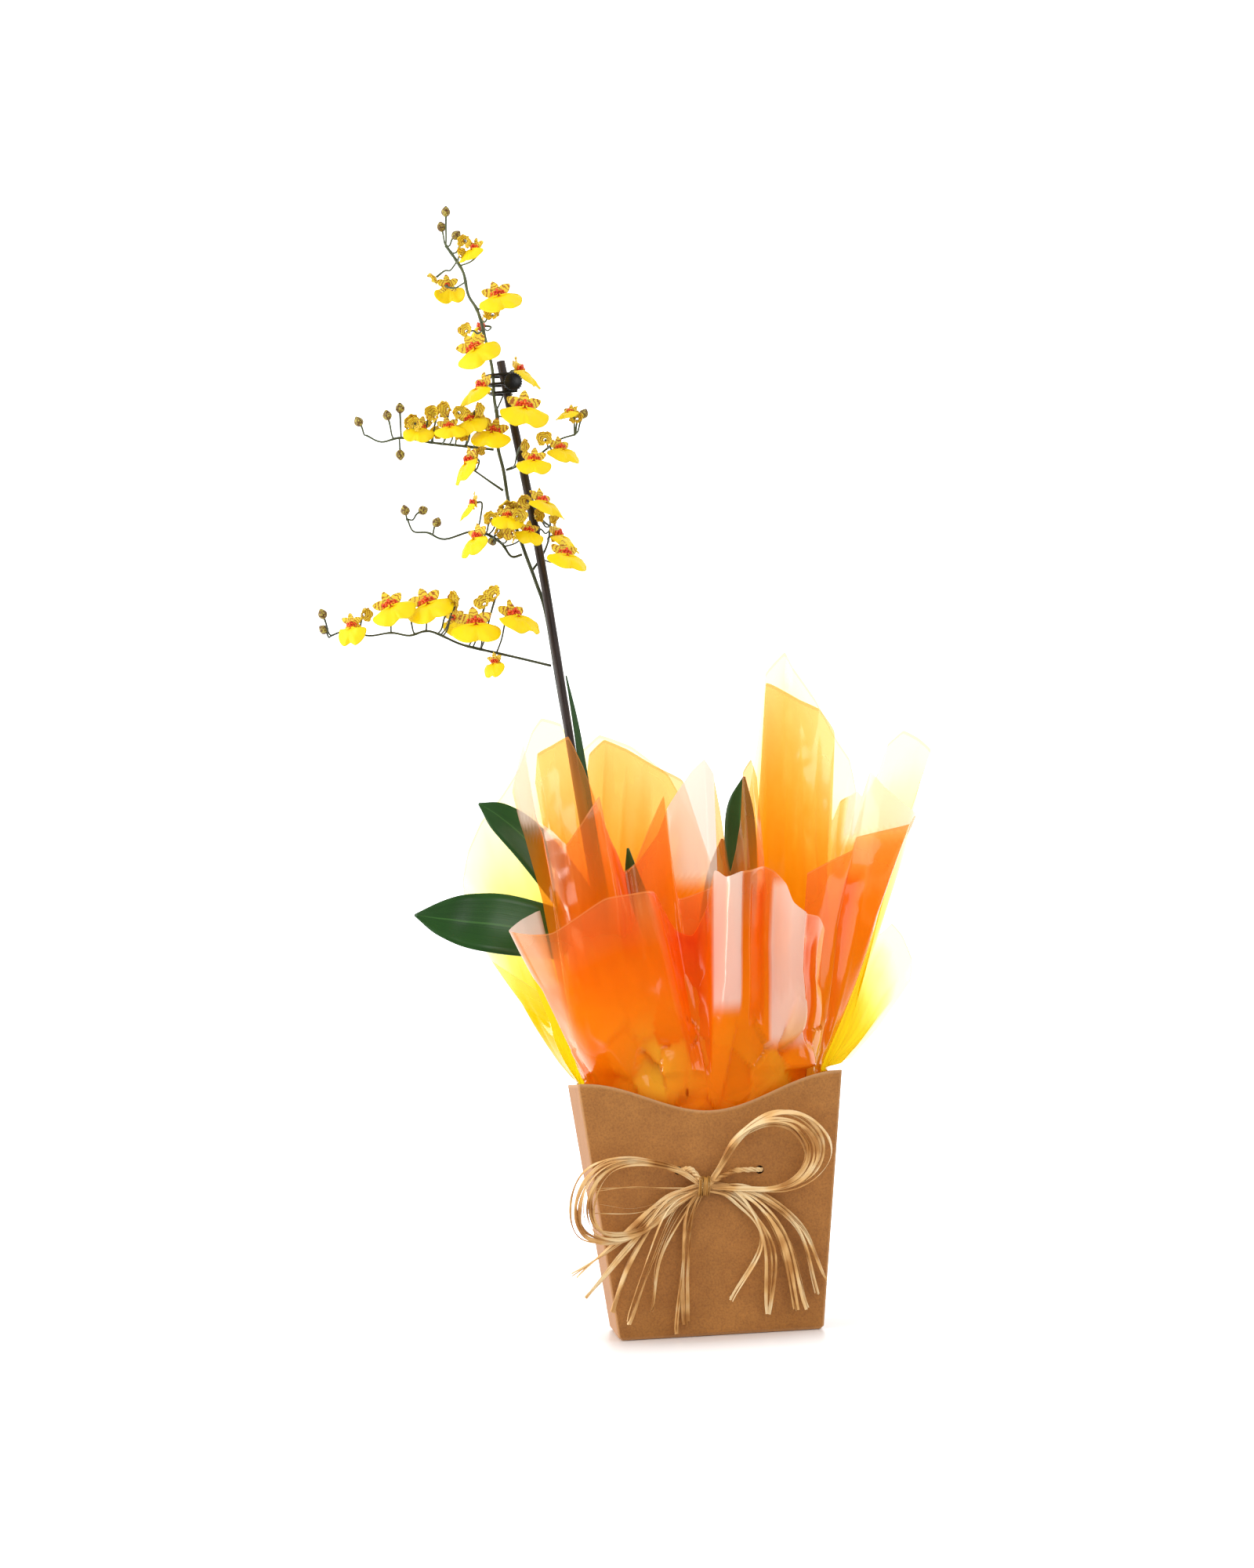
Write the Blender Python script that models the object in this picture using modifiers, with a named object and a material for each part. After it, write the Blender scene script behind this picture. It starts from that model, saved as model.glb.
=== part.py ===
# Potted oncidium orchid, wrapped in see-through film and set in a scooped card box.
# Units are metres, +Z is up, the box's front faces -Y, and the origin is the
# centre of the box's flat bottom.

import math
import random

import bmesh
import bpy
from mathutils import Euler, Matrix, Vector

MM = 0.001
GAP = 0.3 * MM
FLAT_ANGLE = math.radians(0.2)

# Card box
BOX_BOTTOM_WIDTH = 109 * MM
BOX_TOP_WIDTH = 140 * MM
BOX_BOTTOM_DEPTH = 100 * MM
BOX_TOP_DEPTH = 146 * MM
BOX_HEIGHT = 136 * MM
SCOOP_DEPTH = 17.5 * MM
CARD = 1.0 * MM
SCOOP_STEPS = 12
LACE_HOLES = ((-19 * MM, 88 * MM), (24 * MM, 86 * MM))
LACE_HOLE_RADIUS = 2.2 * MM

# Nursery pot and its bark
POT_BOTTOM_RADIUS = 41 * MM
POT_TOP_RADIUS = 52.5 * MM
POT_RIM_RADIUS = 55.5 * MM
POT_WALL = 1.3 * MM
POT_TOP = 118 * MM
POT_RIM_HEIGHT = 7 * MM
POT_SIDES = 32
BARK_TOP = 108 * MM
BARK_BUMP = 2.2 * MM

# Film
FILM_THICKNESS = 0.6 * MM
FILM_FOOT = 98 * MM
FILM_LEDGE = 138 * MM
FILM_ROWS = (0.0, 0.5, 1.0)

# Stake, flower stem and the clip that holds them together
STAKE_RADIUS = 2.4 * MM
STEM_RADIUS = 1.2 * MM
BRANCH_RADIUS = 0.75 * MM
STALK_RADIUS = 0.5 * MM
CLIP_HEIGHT = 524 * MM

# A bloom of size 1, and a bud
BLADE = 0.65 * MM
TEPAL_LENGTH = 8.2 * MM
TEPAL_WIDTH = 4.0 * MM
LIP_HALF_WIDTH = 11.3 * MM
LIP_DROP = 11 * MM
LIP_REACH = 9.5 * MM
CORE_RADIUS = 2.2 * MM
CORE_DEPTH = 3.8 * MM
BUD_RADIUS = 2.5 * MM
BUD_LENGTH = 6.4 * MM

# Raffia
RAFFIA_RADIUS = 0.75 * MM
RAFFIA_SEED = 7

GREEN = (0.03, 0.10, 0.02)
STEM_GREEN = (0.12, 0.17, 0.05)
YELLOW = (0.95, 0.78, 0.02)
ORANGE = (1.0, 0.30, 0.02)
KRAFT = (0.45, 0.25, 0.12)

# Routes, in millimetres: x to the right, y away from the viewer, z up
STAKE_ROUTE = ((-23, 5, 18), (-35, 4, 112), (-56, 1, 279), (-72, 0, 427), (-88, 0, 537))
STEM_ROUTE = (
    (-30, 15, 104), (-44, 12, 200), (-57, 9, 290), (-65, 8, 350), (-70, 7, 395), (-75, 5, 414),
    (-80, 4, 430), (-87, 3, 455), (-89.5, 3, 476), (-92, 2, 490), (-91.5, 1, 506), (-92.6, 0, 516),
    (-92.8, 0, 532), (-95, -2, 545), (-99, -4, 564), (-104, -5, 574), (-106, -6, 586), (-110, -6, 594),
    (-115, -6, 602),
)
BRANCH_ROUTES = {
    "branch_low_left": (
        (-69, 6.5, 367), (-88, 2, 372), (-111, -2, 378), (-120, -3, 381), (-135, -5, 388),
        (-146, -6, 386), (-156, -6, 388), (-168, -6, 387), (-181, -6, 390), (-189, -6, 388),
    ),
    "branch_mid_left": (
        (-82, 3, 429), (-88, 0, 428), (-94, -3, 436), (-107, -6, 442), (-124, -8, 438),
        (-133, -8, 442), (-141, -9, 443), (-144, -9, 450),
    ),
    "branch_right": ((-77, 8, 420), (-71, 10, 428), (-67, 10, 436), (-65, 9, 445)),
    "branch_short_left": ((-90.5, 1, 465), (-98, -3, 470), (-106, -5, 476)),
    "branch_upper_right": ((-88, 5, 477), (-80, 8, 480), (-72, 8, 483), (-65, 7, 488), (-57, 6, 493),
                           (-49, 5, 495)),
    "branch_upper_left": (
        (-94.5, 1, 488), (-112, -4, 490), (-129, -8, 492), (-145, -10, 495), (-156, -11, 493),
        (-164, -11, 497),
    ),
}

# Buds: the stem or branch each grows on, and its place in millimetres
BUDS = (
    ("spike_stem", (-114, -7, 621)), ("spike_stem", (-117, -5, 613)), ("spike_stem", (-109, -9, 607)),
    ("branch_upper_left", (-168, -11, 505)), ("branch_upper_left", (-146, -7, 486)),
    ("branch_upper_left", (-152, -15, 507)), ("branch_upper_left", (-145, -13, 511)),
    ("branch_upper_left", (-138, -4, 505)),
    ("branch_upper_right", (-43, 7, 507)),
    ("branch_mid_left", (-145, -9, 455)), ("branch_mid_left", (-135, -5, 455)),
    ("branch_mid_left", (-128, -12, 447)), ("branch_mid_left", (-98, 1, 437)),
    ("branch_right", (-73, 16, 445)),
    ("branch_low_left", (-193, -8, 400)), ("branch_low_left", (-193, -4, 392)),
    ("branch_low_left", (-105, 4, 391)),
)

# Blooms: stem or branch, place, turn to the right, nod upward and roll in degrees, and size
BLOOMS = (
    ("spike_stem", (-99, -15, 598), -50, 5, 0, 0.72),
    ("spike_stem", (-115, 4, 582), 165, 10, 0, 0.75),
    ("spike_stem", (-88, -12, 572), 5, 8, 12, 1.02),
    ("spike_stem", (-97, 8, 559), -95, 0, 0, 0.85),
    ("spike_stem", (-103, -16, 542), 5, 8, 28, 1.08),
    ("spike_stem", (-78, 10, 534), 68, 5, 0, 0.95),
    ("spike_stem", (-99, -13, 521), -60, 8, 0, 1.05),
    ("spike_stem", (-77, -18, 508), 8, 6, -8, 1.15),
    ("spike_stem", (-94, -13, 496), -18, 8, -12, 0.95),
    ("branch_upper_left", (-134, -14, 500), -15, 0, -10, 0.75),
    ("branch_upper_left", (-119, -22, 498), 12, 10, 5, 0.75),
    ("branch_upper_left", (-107, -15, 503), 0, 0, 12, 0.75),
    ("branch_upper_right", (-58, -1, 487), 35, 5, 0, 0.85),
    ("branch_upper_right", (-73, -15, 479), 0, 5, -5, 0.82),
    ("branch_upper_right", (-51, 0, 507), -40, 20, 0, 0.6),
    ("branch_short_left", (-108, -10, 481), -62, -8, 10, 0.95),
    ("branch_mid_left", (-107, -12, 457), -80, 0, 0, 0.75),
    ("branch_mid_left", (-106, -15, 438), -50, -5, 5, 0.88),
    ("branch_mid_left", (-89, -18, 448), 0, 5, -5, 0.75),
    ("branch_mid_left", (-78, -13, 440), 15, 0, -10, 0.7),
    ("branch_right", (-70, -12, 456), 45, 10, -8, 1.0),
    ("branch_right", (-62, 0, 439), 62, 5, 0, 0.95),
    ("branch_right", (-59, -14, 426), 25, 10, -8, 1.0),
    ("branch_low_left", (-156, -16, 402), 5, 10, 22, 1.05),
    ("branch_low_left", (-136, -13, 403), 5, 10, 20, 1.1),
    ("branch_low_left", (-121, 4, 396), 150, 0, 0, 0.75),
    ("branch_low_left", (-110, -17, 390), 5, 10, 0, 1.15),
    ("branch_low_left", (-89, -13, 394), 40, 10, 0, 1.1),
    ("branch_low_left", (-177, -14, 393), -30, -25, 0, 0.75),
    ("branch_low_left", (-100, -4, 370), -40, -20, 0, 0.6),
)

# Leaves: spine in millimetres, half widths in millimetres, and the way the blade faces
LEAVES = {
    "leaf_big_left": (
        ((-13, -10, 165), (-38, -16, 196), (-68, -19, 214), (-95, -22, 222), (-118, -24, 226),
         (-136, -24, 229), (-151, -22, 232)),
        (4, 8, 13, 16.5, 16, 10.5, 0.6), (0.15, -1, 0.25),
    ),
    "leaf_upper_left": (
        ((-19, -2, 165), (-44, -8, 205), (-66, -9, 240), (-86, -8, 268), (-102, -6, 284),
         (-113, -4, 292)),
        (4, 8, 11, 11, 8, 0.6), (0.1, -1, 0.1),
    ),
    "leaf_right": (
        ((18, 2, 165), (24, 4, 195), (28, 6, 230), (30, 6, 262), (31, 5, 284), (34, 4, 300)),
        (4, 7, 9, 9, 7, 0.6), (-0.2, -1, 0.1),
    ),
    "leaf_short": (
        ((-2, -8, 164), (-14, -16, 195), (-26, -22, 225), (-32, -24, 246), (-34, -25, 262)),
        (3.5, 5, 5.5, 4, 0.6), (-0.3, -1, 0),
    ),
    "leaf_back": (
        ((4, 14, 164), (10, 22, 195), (16, 28, 225), (20, 30, 250), (22, 29, 268)),
        (4, 8, 9, 7, 0.6), (0.2, 1, 0.1),
    ),
}
PSEUDOBULBS = {
    "pseudobulb_left": (-14, -3, -9),
    "pseudobulb_right": (12, 2, 8),
    "pseudobulb_back": (4, 22, 3),
}

# Film sheets: inset from the box's walls, and for each rib the angle of its foot
# (from the front, to the right) and its top point in millimetres
FILMS = {
    "film_orange_front": (3.2, (
        (-62, (-83, -40, 230)), (-59, (-93, -47, 225)), (-56, (-100, -56, 219)), (-47, (-90, -72, 216)),
        (-38, (-79, -82, 216)), (-29, (-65, -88, 224)), (-20, (-51, -90, 232)), (-12, (-37, -86, 234)),
        (-6, (-25, -78, 235)), (-4, (-19, -66, 225)), (-2.5, (-13, -60, 215)), (-1, (-4, -62, 212)),
        (0.5, (4, -66, 226)), (2, (8, -76, 244)), (6, (13, -90, 240)), (11, (20, -96, 242)),
        (16, (27, -92, 243)), (20, (34, -82, 245)), (24, (40, -80, 242)), (28, (44, -86, 235)),
        (32, (47, -90, 225)), (37, (54, -88, 219)), (42, (62, -78, 217)), (46, (66, -66, 210)),
        (48, (65, -60, 204)),
    )),
    "film_orange_left": (4.8, (
        (-66, (-94, -28, 295)), (-64, (-86, -30, 321)), (-60, (-84, -32, 301)), (-56, (-81, -36, 279)),
        (-48, (-74, -44, 271)), (-40, (-68, -50, 264)), (-34, (-58, -50, 277)), (-29, (-49, -48, 289)),
        (-25, (-46, -48, 272)), (-20, (-39, -48, 248)), (-16, (-32, -46, 252)), (-12, (-24, -44, 269)),
        (-8, (-14, -41, 288)), (-5, (-13, -45, 268)), (-1, (-10, -53, 232)), (4, (5, -55, 236)),
        (8, (11, -54, 238)),
    )),
    "film_orange_middle": (6.4, (
        (-62, (-82, -20, 300)), (-58, (-80, -21, 316)), (-53, (-72, -24, 320)), (-47, (-63, -27, 324)),
        (-41, (-56, -31, 307)), (-35, (-51, -34, 290)), (-29, (-44, -36, 267)), (-23, (-38, -36, 249)),
        (-17, (-30, -35, 253)), (-12, (-18, -33, 268)), (-9, (-12, -32, 281)), (-5, (-6, -33, 290)),
        (-1, (2, -34, 301)), (3, (9, -35, 307)), (7, (14, -34, 298)), (10, (17, -31, 278)),
        (13, (19, -28, 259)), (16, (21, -24, 246)), (19, (25, -20, 258)), (22, (29, -16, 275)),
        (25, (32, -13, 301)), (28, (37, -11, 308)), (31, (40, -8, 298)),
    )),
    "film_orange_right": (4.8, (
        (34, (62, -32, 243)), (40, (75, -33, 249)), (46, (87, -33, 254)), (50, (90, -32, 261)),
        (55, (105, -30, 264)), (60, (120, -26, 267)), (65, (124, -16, 273)), (72, (109, -6, 289)),
        (78, (102, 0, 299)), (84, (97, 4, 286)), (89, (95, 8, 289)), (94, (87, 10, 284)),
        (98, (82, 12, 274)), (103, (87, 16, 323)), (112, (80, 22, 337)), (124, (70, 26, 343)),
        (136, (61, 28, 349)), (146, (51, 24, 353)), (152, (45, 18, 307)), (156, (41, 12, 279)),
        (160, (39, 8, 257)),
    )),
    "film_orange_back": (6.4, (
        (-112, (-52, 34, 303)), (-121, (-49, 40, 320)), (-130, (-40, 44, 328)), (-141, (-27, 46, 322)),
        (-152, (-12, 47, 312)), (-164, (3, 46, 303)), (-176, (12, 42, 269)), (172, (18, 36, 246)),
    )),
    "film_yellow": (1.6, (
        (-74, (-87, -18, 188)), (-77.5, (-99, -13, 197)), (-80.5, (-111, -9, 206)), (-83, (-122, -4, 229)),
        (-87, (-124, 0, 250)), (-91, (-120, 4, 267)), (-97, (-112, 9, 283)), (-104, (-100, 16, 297)),
        (-112, (-89, 24, 313)), (-119, (-81, 30, 333)), (-125, (-75, 34, 341)), (-133, (-64, 42, 338)),
        (-141, (-56, 50, 321)), (-149, (-42, 56, 332)), (-157, (-24, 60, 325)), (-165, (-4, 62, 308)),
        (-173, (9, 62, 280)), (179, (20, 60, 245)), (172, (31, 60, 246)), (166, (40, 58, 290)),
        (160, (48, 56, 326)), (154, (54, 52, 362)), (147, (65, 48, 373)), (140, (69, 46, 364)),
        (133, (80, 42, 345)), (126, (90, 36, 321)), (119, (96, 30, 309)), (112, (98, 24, 290)),
        (107, (93, 16, 264)), (103, (101, 12, 285)), (99, (109, 8, 299)), (96, (115, 6, 314)),
        (93, (124, 4, 321)), (90, (132, 2, 316)), (87, (138, 0, 309)), (84, (131, -2, 293)),
        (81, (118, -5, 250)), (79, (102, -8, 209)), (77, (109, -11, 214)), (74, (114, -14, 207)),
        (71, (118, -17, 194)), (68, (116, -19, 182)), (64, (97, -28, 159)), (60, (79, -40, 142)),
    )),
}

# Raffia: millimetres across, off the box's front and up; a tail adds its own spread
KNOT = (-6, 5.5, 79)
LOOP_LEFT = (
    (-8, 5.5, 80), (-20, 8, 89), (-42, 12, 95), (-57, 15, 94), (-67, 16, 88), (-73, 16, 77),
    (-74, 15, 65), (-69, 13, 56), (-56, 10, 53), (-40, 7, 57), (-24, 6, 68), (-9, 5, 77),
)
LOOP_RIGHT = (
    (-4, 5.5, 80), (4, 7, 91), (12, 10, 103), (24, 13, 112), (36, 15, 115), (48, 15, 111),
    (56, 13, 100), (56, 11, 89), (48, 9, 80), (34, 7, 75), (16, 6, 76), (-2, 5, 78),
)
TAILS_LEFT = (
    ((-26, 5, 74), (-50, 6, 54), (-77, 8, 36)), ((-25, 6, 72), (-48, 7, 50), (-70, 6, 24)),
    ((-24, 5, 70), (-42, 6, 46), (-58, 4, 15)), ((-22, 7, 68), (-36, 8, 42), (-49, 5, 9)),
    ((-20, 5, 67), (-33, 6, 42), (-37, 3, 14)), ((-15, 6, 64), (-20, 7, 36), (-24, 3, 3)),
    ((-14, 5, 62), (-17, 6, 36), (-19, 3, 7)),
)
TAILS_RIGHT = (
    ((10, 5, 72), (24, 7, 50), (6, 5, 19)), ((12, 6, 72), (26, 8, 46), (25, 4, 9)),
    ((14, 5, 73), (32, 7, 50), (40, 4, 12)), ((16, 6, 74), (36, 8, 52), (45, 5, 12)),
    ((18, 5, 74), (40, 7, 54), (51, 4, 19)), ((18, 6, 75), (44, 8, 55), (55, 5, 26)),
)


def mm(point):
    return Vector(point) * MM


def clear_scene():
    for item in list(bpy.data.objects):
        bpy.data.objects.remove(item, do_unlink=True)


def finish(item, colour, roughness=0.5):
    material = bpy.data.materials.new(item.name + "_finish")
    material.use_nodes = True
    shader = material.node_tree.nodes["Principled BSDF"]
    shader.inputs["Base Color"].default_value = (*colour, 1.0)
    shader.inputs["Roughness"].default_value = roughness
    item.data = item.data.copy()
    item.data.materials.clear()
    item.data.materials.append(material)
    return item


def object_from_bmesh(name, shape):
    mesh = bpy.data.meshes.new(name)
    shape.to_mesh(mesh)
    shape.free()
    item = bpy.data.objects.new(name, mesh)
    PLANT.objects.link(item)
    return item


def evaluated_mesh(item):
    graph = bpy.context.evaluated_depsgraph_get()
    graph.update()
    return bpy.data.meshes.new_from_object(item.evaluated_get(graph))


def bake(item):
    # Replaces an object by one that holds its evaluated mesh
    mesh = evaluated_mesh(item)
    solid = bpy.data.objects.new(item.name, mesh)
    solid.matrix_world = item.matrix_world.copy()
    name = item.name
    bpy.data.objects.remove(item, do_unlink=True)
    solid.name = name
    PLANT.objects.link(solid)
    return solid


def weld(item, distance=0.001 * MM):
    shape = bmesh.new()
    shape.from_mesh(item.data)
    bmesh.ops.remove_doubles(shape, verts=shape.verts, dist=distance)
    bmesh.ops.dissolve_degenerate(shape, dist=distance, edges=shape.edges)
    shape.to_mesh(item.data)
    shape.free()
    return item


def combine(item, others, operation="UNION"):
    # Joins or cuts one object with a collection of others, which are then removed
    group = bpy.data.collections.new("operands")
    bpy.context.scene.collection.children.link(group)
    for other in others:
        for owner in list(other.users_collection):
            owner.objects.unlink(other)
        group.objects.link(other)
    modifier = item.modifiers.new("combine", "BOOLEAN")
    modifier.operand_type = "COLLECTION"
    modifier.collection = group
    modifier.operation = operation
    modifier.solver = "MANIFOLD"
    result = bake(item)
    for other in others:
        bpy.data.objects.remove(other, do_unlink=True)
    bpy.data.collections.remove(group)
    return result


def merge_flat_faces(item):
    shape = bmesh.new()
    shape.from_mesh(item.data)
    bmesh.ops.dissolve_limit(shape, angle_limit=FLAT_ANGLE, verts=shape.verts, edges=shape.edges)
    bmesh.ops.triangulate(shape, faces=shape.faces[:])
    shape.to_mesh(item.data)
    shape.free()
    return item


def smooth_route(points, steps):
    # Catmull-Rom curve through the points
    points = [Vector(point) for point in points]
    ends = [2 * points[0] - points[1], *points, 2 * points[-1] - points[-2]]
    route = []
    for index in range(len(points) - 1):
        a, b, c, d = ends[index:index + 4]
        for step in range(steps):
            t = step / steps
            route.append(0.5 * (2 * b + (c - a) * t + (2 * a - 5 * b + 4 * c - d) * t ** 2
                                + (3 * b - a - 3 * c + d) * t ** 3))
    return route + [points[-1]]


def tube(name, points, radius, roundness=0, end_scale=1.0):
    curve = bpy.data.curves.new(name, "CURVE")
    curve.dimensions = "3D"
    curve.bevel_depth = radius
    curve.bevel_resolution = roundness
    curve.use_fill_caps = True
    spline = curve.splines.new("POLY")
    spline.points.add(len(points) - 1)
    for index, (spot, place) in enumerate(zip(spline.points, points)):
        spot.co = (*place, 1.0)
        spot.radius = 1 + (end_scale - 1) * index / (len(points) - 1)
    item = bpy.data.objects.new(name, curve)
    PLANT.objects.link(item)
    return weld(bake(item))


def solid_sheet(name, rows, thickness):
    # A grid of points split into triangles, then given thickness
    shape = bmesh.new()
    grid = [[shape.verts.new(point) for point in row] for row in rows]
    for lower, upper in zip(grid, grid[1:]):
        for index in range(len(lower) - 1):
            shape.faces.new((lower[index], lower[index + 1], upper[index + 1], upper[index]))
    bmesh.ops.triangulate(shape, faces=shape.faces[:])
    bmesh.ops.recalc_face_normals(shape, faces=shape.faces[:])
    item = object_from_bmesh(name, shape)
    thicken(item, thickness)
    return item


def thicken(item, thickness, offset=0.0):
    modifier = item.modifiers.new("thickness", "SOLIDIFY")
    modifier.thickness = thickness
    modifier.offset = offset
    modifier.use_even_offset = False
    return item


def blade(name, spine, half_widths, face, cup, thickness):
    # A leaf: its spine, half widths, the way it faces and how far its edges lift
    face = Vector(face).normalized()
    rows = []
    for index, (point, half) in enumerate(zip(spine, half_widths)):
        before = spine[max(index - 1, 0)]
        after = spine[min(index + 1, len(spine) - 1)]
        side = (after - before).cross(face).normalized()
        lift = side.cross(after - before).normalized() * half * cup
        rows.append([point - side * half + lift, point, point + side * half + lift])
    return solid_sheet(name, rows, thickness)


def box_half_sizes(height):
    rise = height / BOX_HEIGHT
    half_width = (BOX_BOTTOM_WIDTH + (BOX_TOP_WIDTH - BOX_BOTTOM_WIDTH) * rise) / 2
    half_depth = (BOX_BOTTOM_DEPTH + (BOX_TOP_DEPTH - BOX_BOTTOM_DEPTH) * rise) / 2
    return half_width, half_depth


def make_box():
    shape = bmesh.new()
    walls = []
    for side in (-1, 1):
        bottom = []
        top = []
        for step in range(SCOOP_STEPS + 1):
            across = side * (1 - 2 * step / SCOOP_STEPS)
            crest = BOX_HEIGHT - SCOOP_DEPTH * (1 + math.cos(math.pi * across)) / 2
            low_width, low_depth = box_half_sizes(0)
            high_width, high_depth = box_half_sizes(crest)
            bottom.append(shape.verts.new((across * low_width, -side * low_depth, 0)))
            top.append(shape.verts.new((across * high_width, -side * high_depth, crest)))
        walls.append((bottom, top))
    for number, (bottom, top) in enumerate(walls):
        for index in range(SCOOP_STEPS):
            shape.faces.new((bottom[index], bottom[index + 1], top[index + 1], top[index]))
        next_bottom, next_top = walls[1 - number]
        shape.faces.new((bottom[-1], next_bottom[0], next_top[0], top[-1]))
    shape.faces.new([*walls[0][0], *walls[1][0]])
    bmesh.ops.recalc_face_normals(shape, faces=shape.faces[:])
    box = object_from_bmesh("card_box", shape)
    thicken(box, CARD, -1.0).modifiers[0].use_even_offset = True
    box = bake(box)
    cutters = []
    for across, height in LACE_HOLES:
        bpy.ops.mesh.primitive_cylinder_add(
            vertices=12, radius=LACE_HOLE_RADIUS, depth=12 * MM, rotation=(math.pi / 2, 0, 0),
            location=(across, -box_half_sizes(height)[1], height))
        cutters.append(bpy.context.object)
    return finish(merge_flat_faces(combine(box, cutters, "DIFFERENCE")), KRAFT, 0.8)


def turned(name, profile, sides):
    shape = bmesh.new()
    ring = [shape.verts.new((radius, 0, height)) for radius, height in profile]
    for lower, upper in zip(ring, ring[1:]):
        shape.edges.new((lower, upper))
    item = object_from_bmesh(name, shape)
    screw = item.modifiers.new("turn", "SCREW")
    screw.steps = sides
    screw.render_steps = sides
    screw.use_merge_vertices = True
    screw.merge_threshold = 0.0001
    return item


def make_pot():
    foot = CARD + GAP
    profile = (
        (0, foot + POT_WALL), (POT_BOTTOM_RADIUS - POT_WALL, foot + POT_WALL),
        (POT_TOP_RADIUS - POT_WALL, POT_TOP), (POT_RIM_RADIUS, POT_TOP),
        (POT_RIM_RADIUS, POT_TOP - POT_RIM_HEIGHT),
        (pot_radius(POT_TOP - POT_RIM_HEIGHT), POT_TOP - POT_RIM_HEIGHT),
        (POT_BOTTOM_RADIUS, foot), (0, foot),
    )
    pot = turned("nursery_pot", profile, POT_SIDES)
    return finish(pot, (0.02, 0.02, 0.02), 0.45)


def pot_radius(height):
    foot = CARD + GAP
    rise = (height - foot) / (POT_TOP - foot)
    return POT_BOTTOM_RADIUS + (POT_TOP_RADIUS - POT_BOTTOM_RADIUS) * rise


def make_bark():
    # Bark fills the pot; its top is lumpy and has plain holes for the stake and the stem
    chance = random.Random(3)
    foot = CARD + GAP + POT_WALL + GAP
    inside = math.cos(math.pi / POT_SIDES)
    low = (pot_radius(foot) - POT_WALL) * inside - 2 * GAP
    high = (pot_radius(BARK_TOP) - POT_WALL) * inside - 2 * GAP
    shape = bmesh.new()
    bmesh.ops.create_cone(shape, segments=20, radius1=low, radius2=high, depth=BARK_TOP - foot,
                          cap_ends=True, matrix=Matrix.Translation((0, 0, (BARK_TOP + foot) / 2)))
    lid = max(shape.faces, key=lambda face: face.calc_center_median().z)
    for _ in range(2):
        bmesh.ops.inset_individual(shape, faces=[lid], thickness=high * 0.3)
        lid = max((face for face in shape.faces if len(face.verts) == 20),
                  key=lambda face: face.calc_center_median().z)
    bmesh.ops.poke(shape, faces=[lid])
    for corner in shape.verts:
        if corner.co.z > BARK_TOP - MM:
            corner.co.z += chance.uniform(-BARK_BUMP, BARK_BUMP)
    bmesh.ops.triangulate(shape, faces=[face for face in shape.faces if face.normal.z > 0.5])
    bark = object_from_bmesh("bark_mix", shape)
    holes = [
        tube("stake_hole", [mm(point) + Vector((0, 0, -2 * MM)) for point in STAKE_ROUTE[:1]]
             + [mm(point) for point in STAKE_ROUTE[1:3]], STAKE_RADIUS + 2 * GAP, 2),
        tube("stem_hole", [mm((-29, 15.2, 98)), mm(STEM_ROUTE[1])], STEM_RADIUS + 2 * GAP, 1),
    ]
    return finish(combine(bark, holes, "DIFFERENCE"), (0.12, 0.06, 0.03), 0.9)


def make_pseudobulb(name, place):
    across, back, lean = place
    shape = bmesh.new()
    bmesh.ops.create_uvsphere(shape, u_segments=10, v_segments=8, radius=1)
    for corner in shape.verts:
        taper = 1 - 0.35 * max(corner.co.z, 0)
        corner.co.x *= 9.5 * MM * taper
        corner.co.y *= 6 * MM * taper
        corner.co.z *= 25 * MM
        corner.co.x += math.radians(lean) * corner.co.z
        corner.co += mm((across, back, 137))
        corner.co.z = max(corner.co.z, BARK_TOP + BARK_BUMP + GAP)
    bmesh.ops.remove_doubles(shape, verts=shape.verts, dist=0.05 * MM)
    bulb = object_from_bmesh(name, shape)
    return finish(bulb, (0.16, 0.24, 0.06), 0.45)


def make_leaf(name, shape):
    spine, half_widths, face = shape
    spine = [mm(point) for point in spine]
    leaf = blade(name, spine, [half * MM for half in half_widths], face, 0.16, 0.9 * MM)
    return finish(leaf, GREEN, 0.35)


def make_sheath():
    # The pointed sheath that stands beside the stake
    spine = [mm(point) for point in ((-43, 5, 215), (-50, 6, 262), (-54, 6, 300), (-57, 5.5, 332),
                                     (-61, 5.5, 361))]
    sheath = blade("stem_sheath", spine, [2.4 * MM, 2.8 * MM, 2.6 * MM, 1.8 * MM, 0.3 * MM],
                   (0.5, -1, 0), 0.3, 0.7 * MM)
    return finish(sheath, GREEN, 0.4)


def make_stake():
    stake = tube("stake", smooth_route([mm(point) for point in STAKE_ROUTE], 2), STAKE_RADIUS, 2)
    return finish(stake, (0.025, 0.012, 0.008), 0.5)


def make_clip():
    # A claw clip: three claws close round the stake and the stem, behind a ridged disc
    plan = ((-80.5, -6.2), (-86.3, -4.2), (-91, -3.6), (-94.8, -2.0), (-95.6, 0), (-94.6, 2.0),
            (-91, 3.4), (-86.3, 4.1), (-83, 3.4))
    claws = []
    for rise in (-5, 0, 5):
        level = CLIP_HEIGHT / MM + rise
        lean = -rise * 0.14
        points = [mm((across + lean, back, level)) for across, back in plan]
        claws.append(tube("claw", points, 0.95 * MM, 0))
    bpy.ops.mesh.primitive_cylinder_add(vertices=16, radius=5.3 * MM, depth=3.2 * MM,
                                        rotation=(math.pi / 2, 0, 0),
                                        location=mm((-82, -6.2, 524)))
    disc = bpy.context.object
    disc.name = "stake_clip"
    return finish(combine(disc, claws), (0.01, 0.01, 0.01), 0.3)


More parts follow.
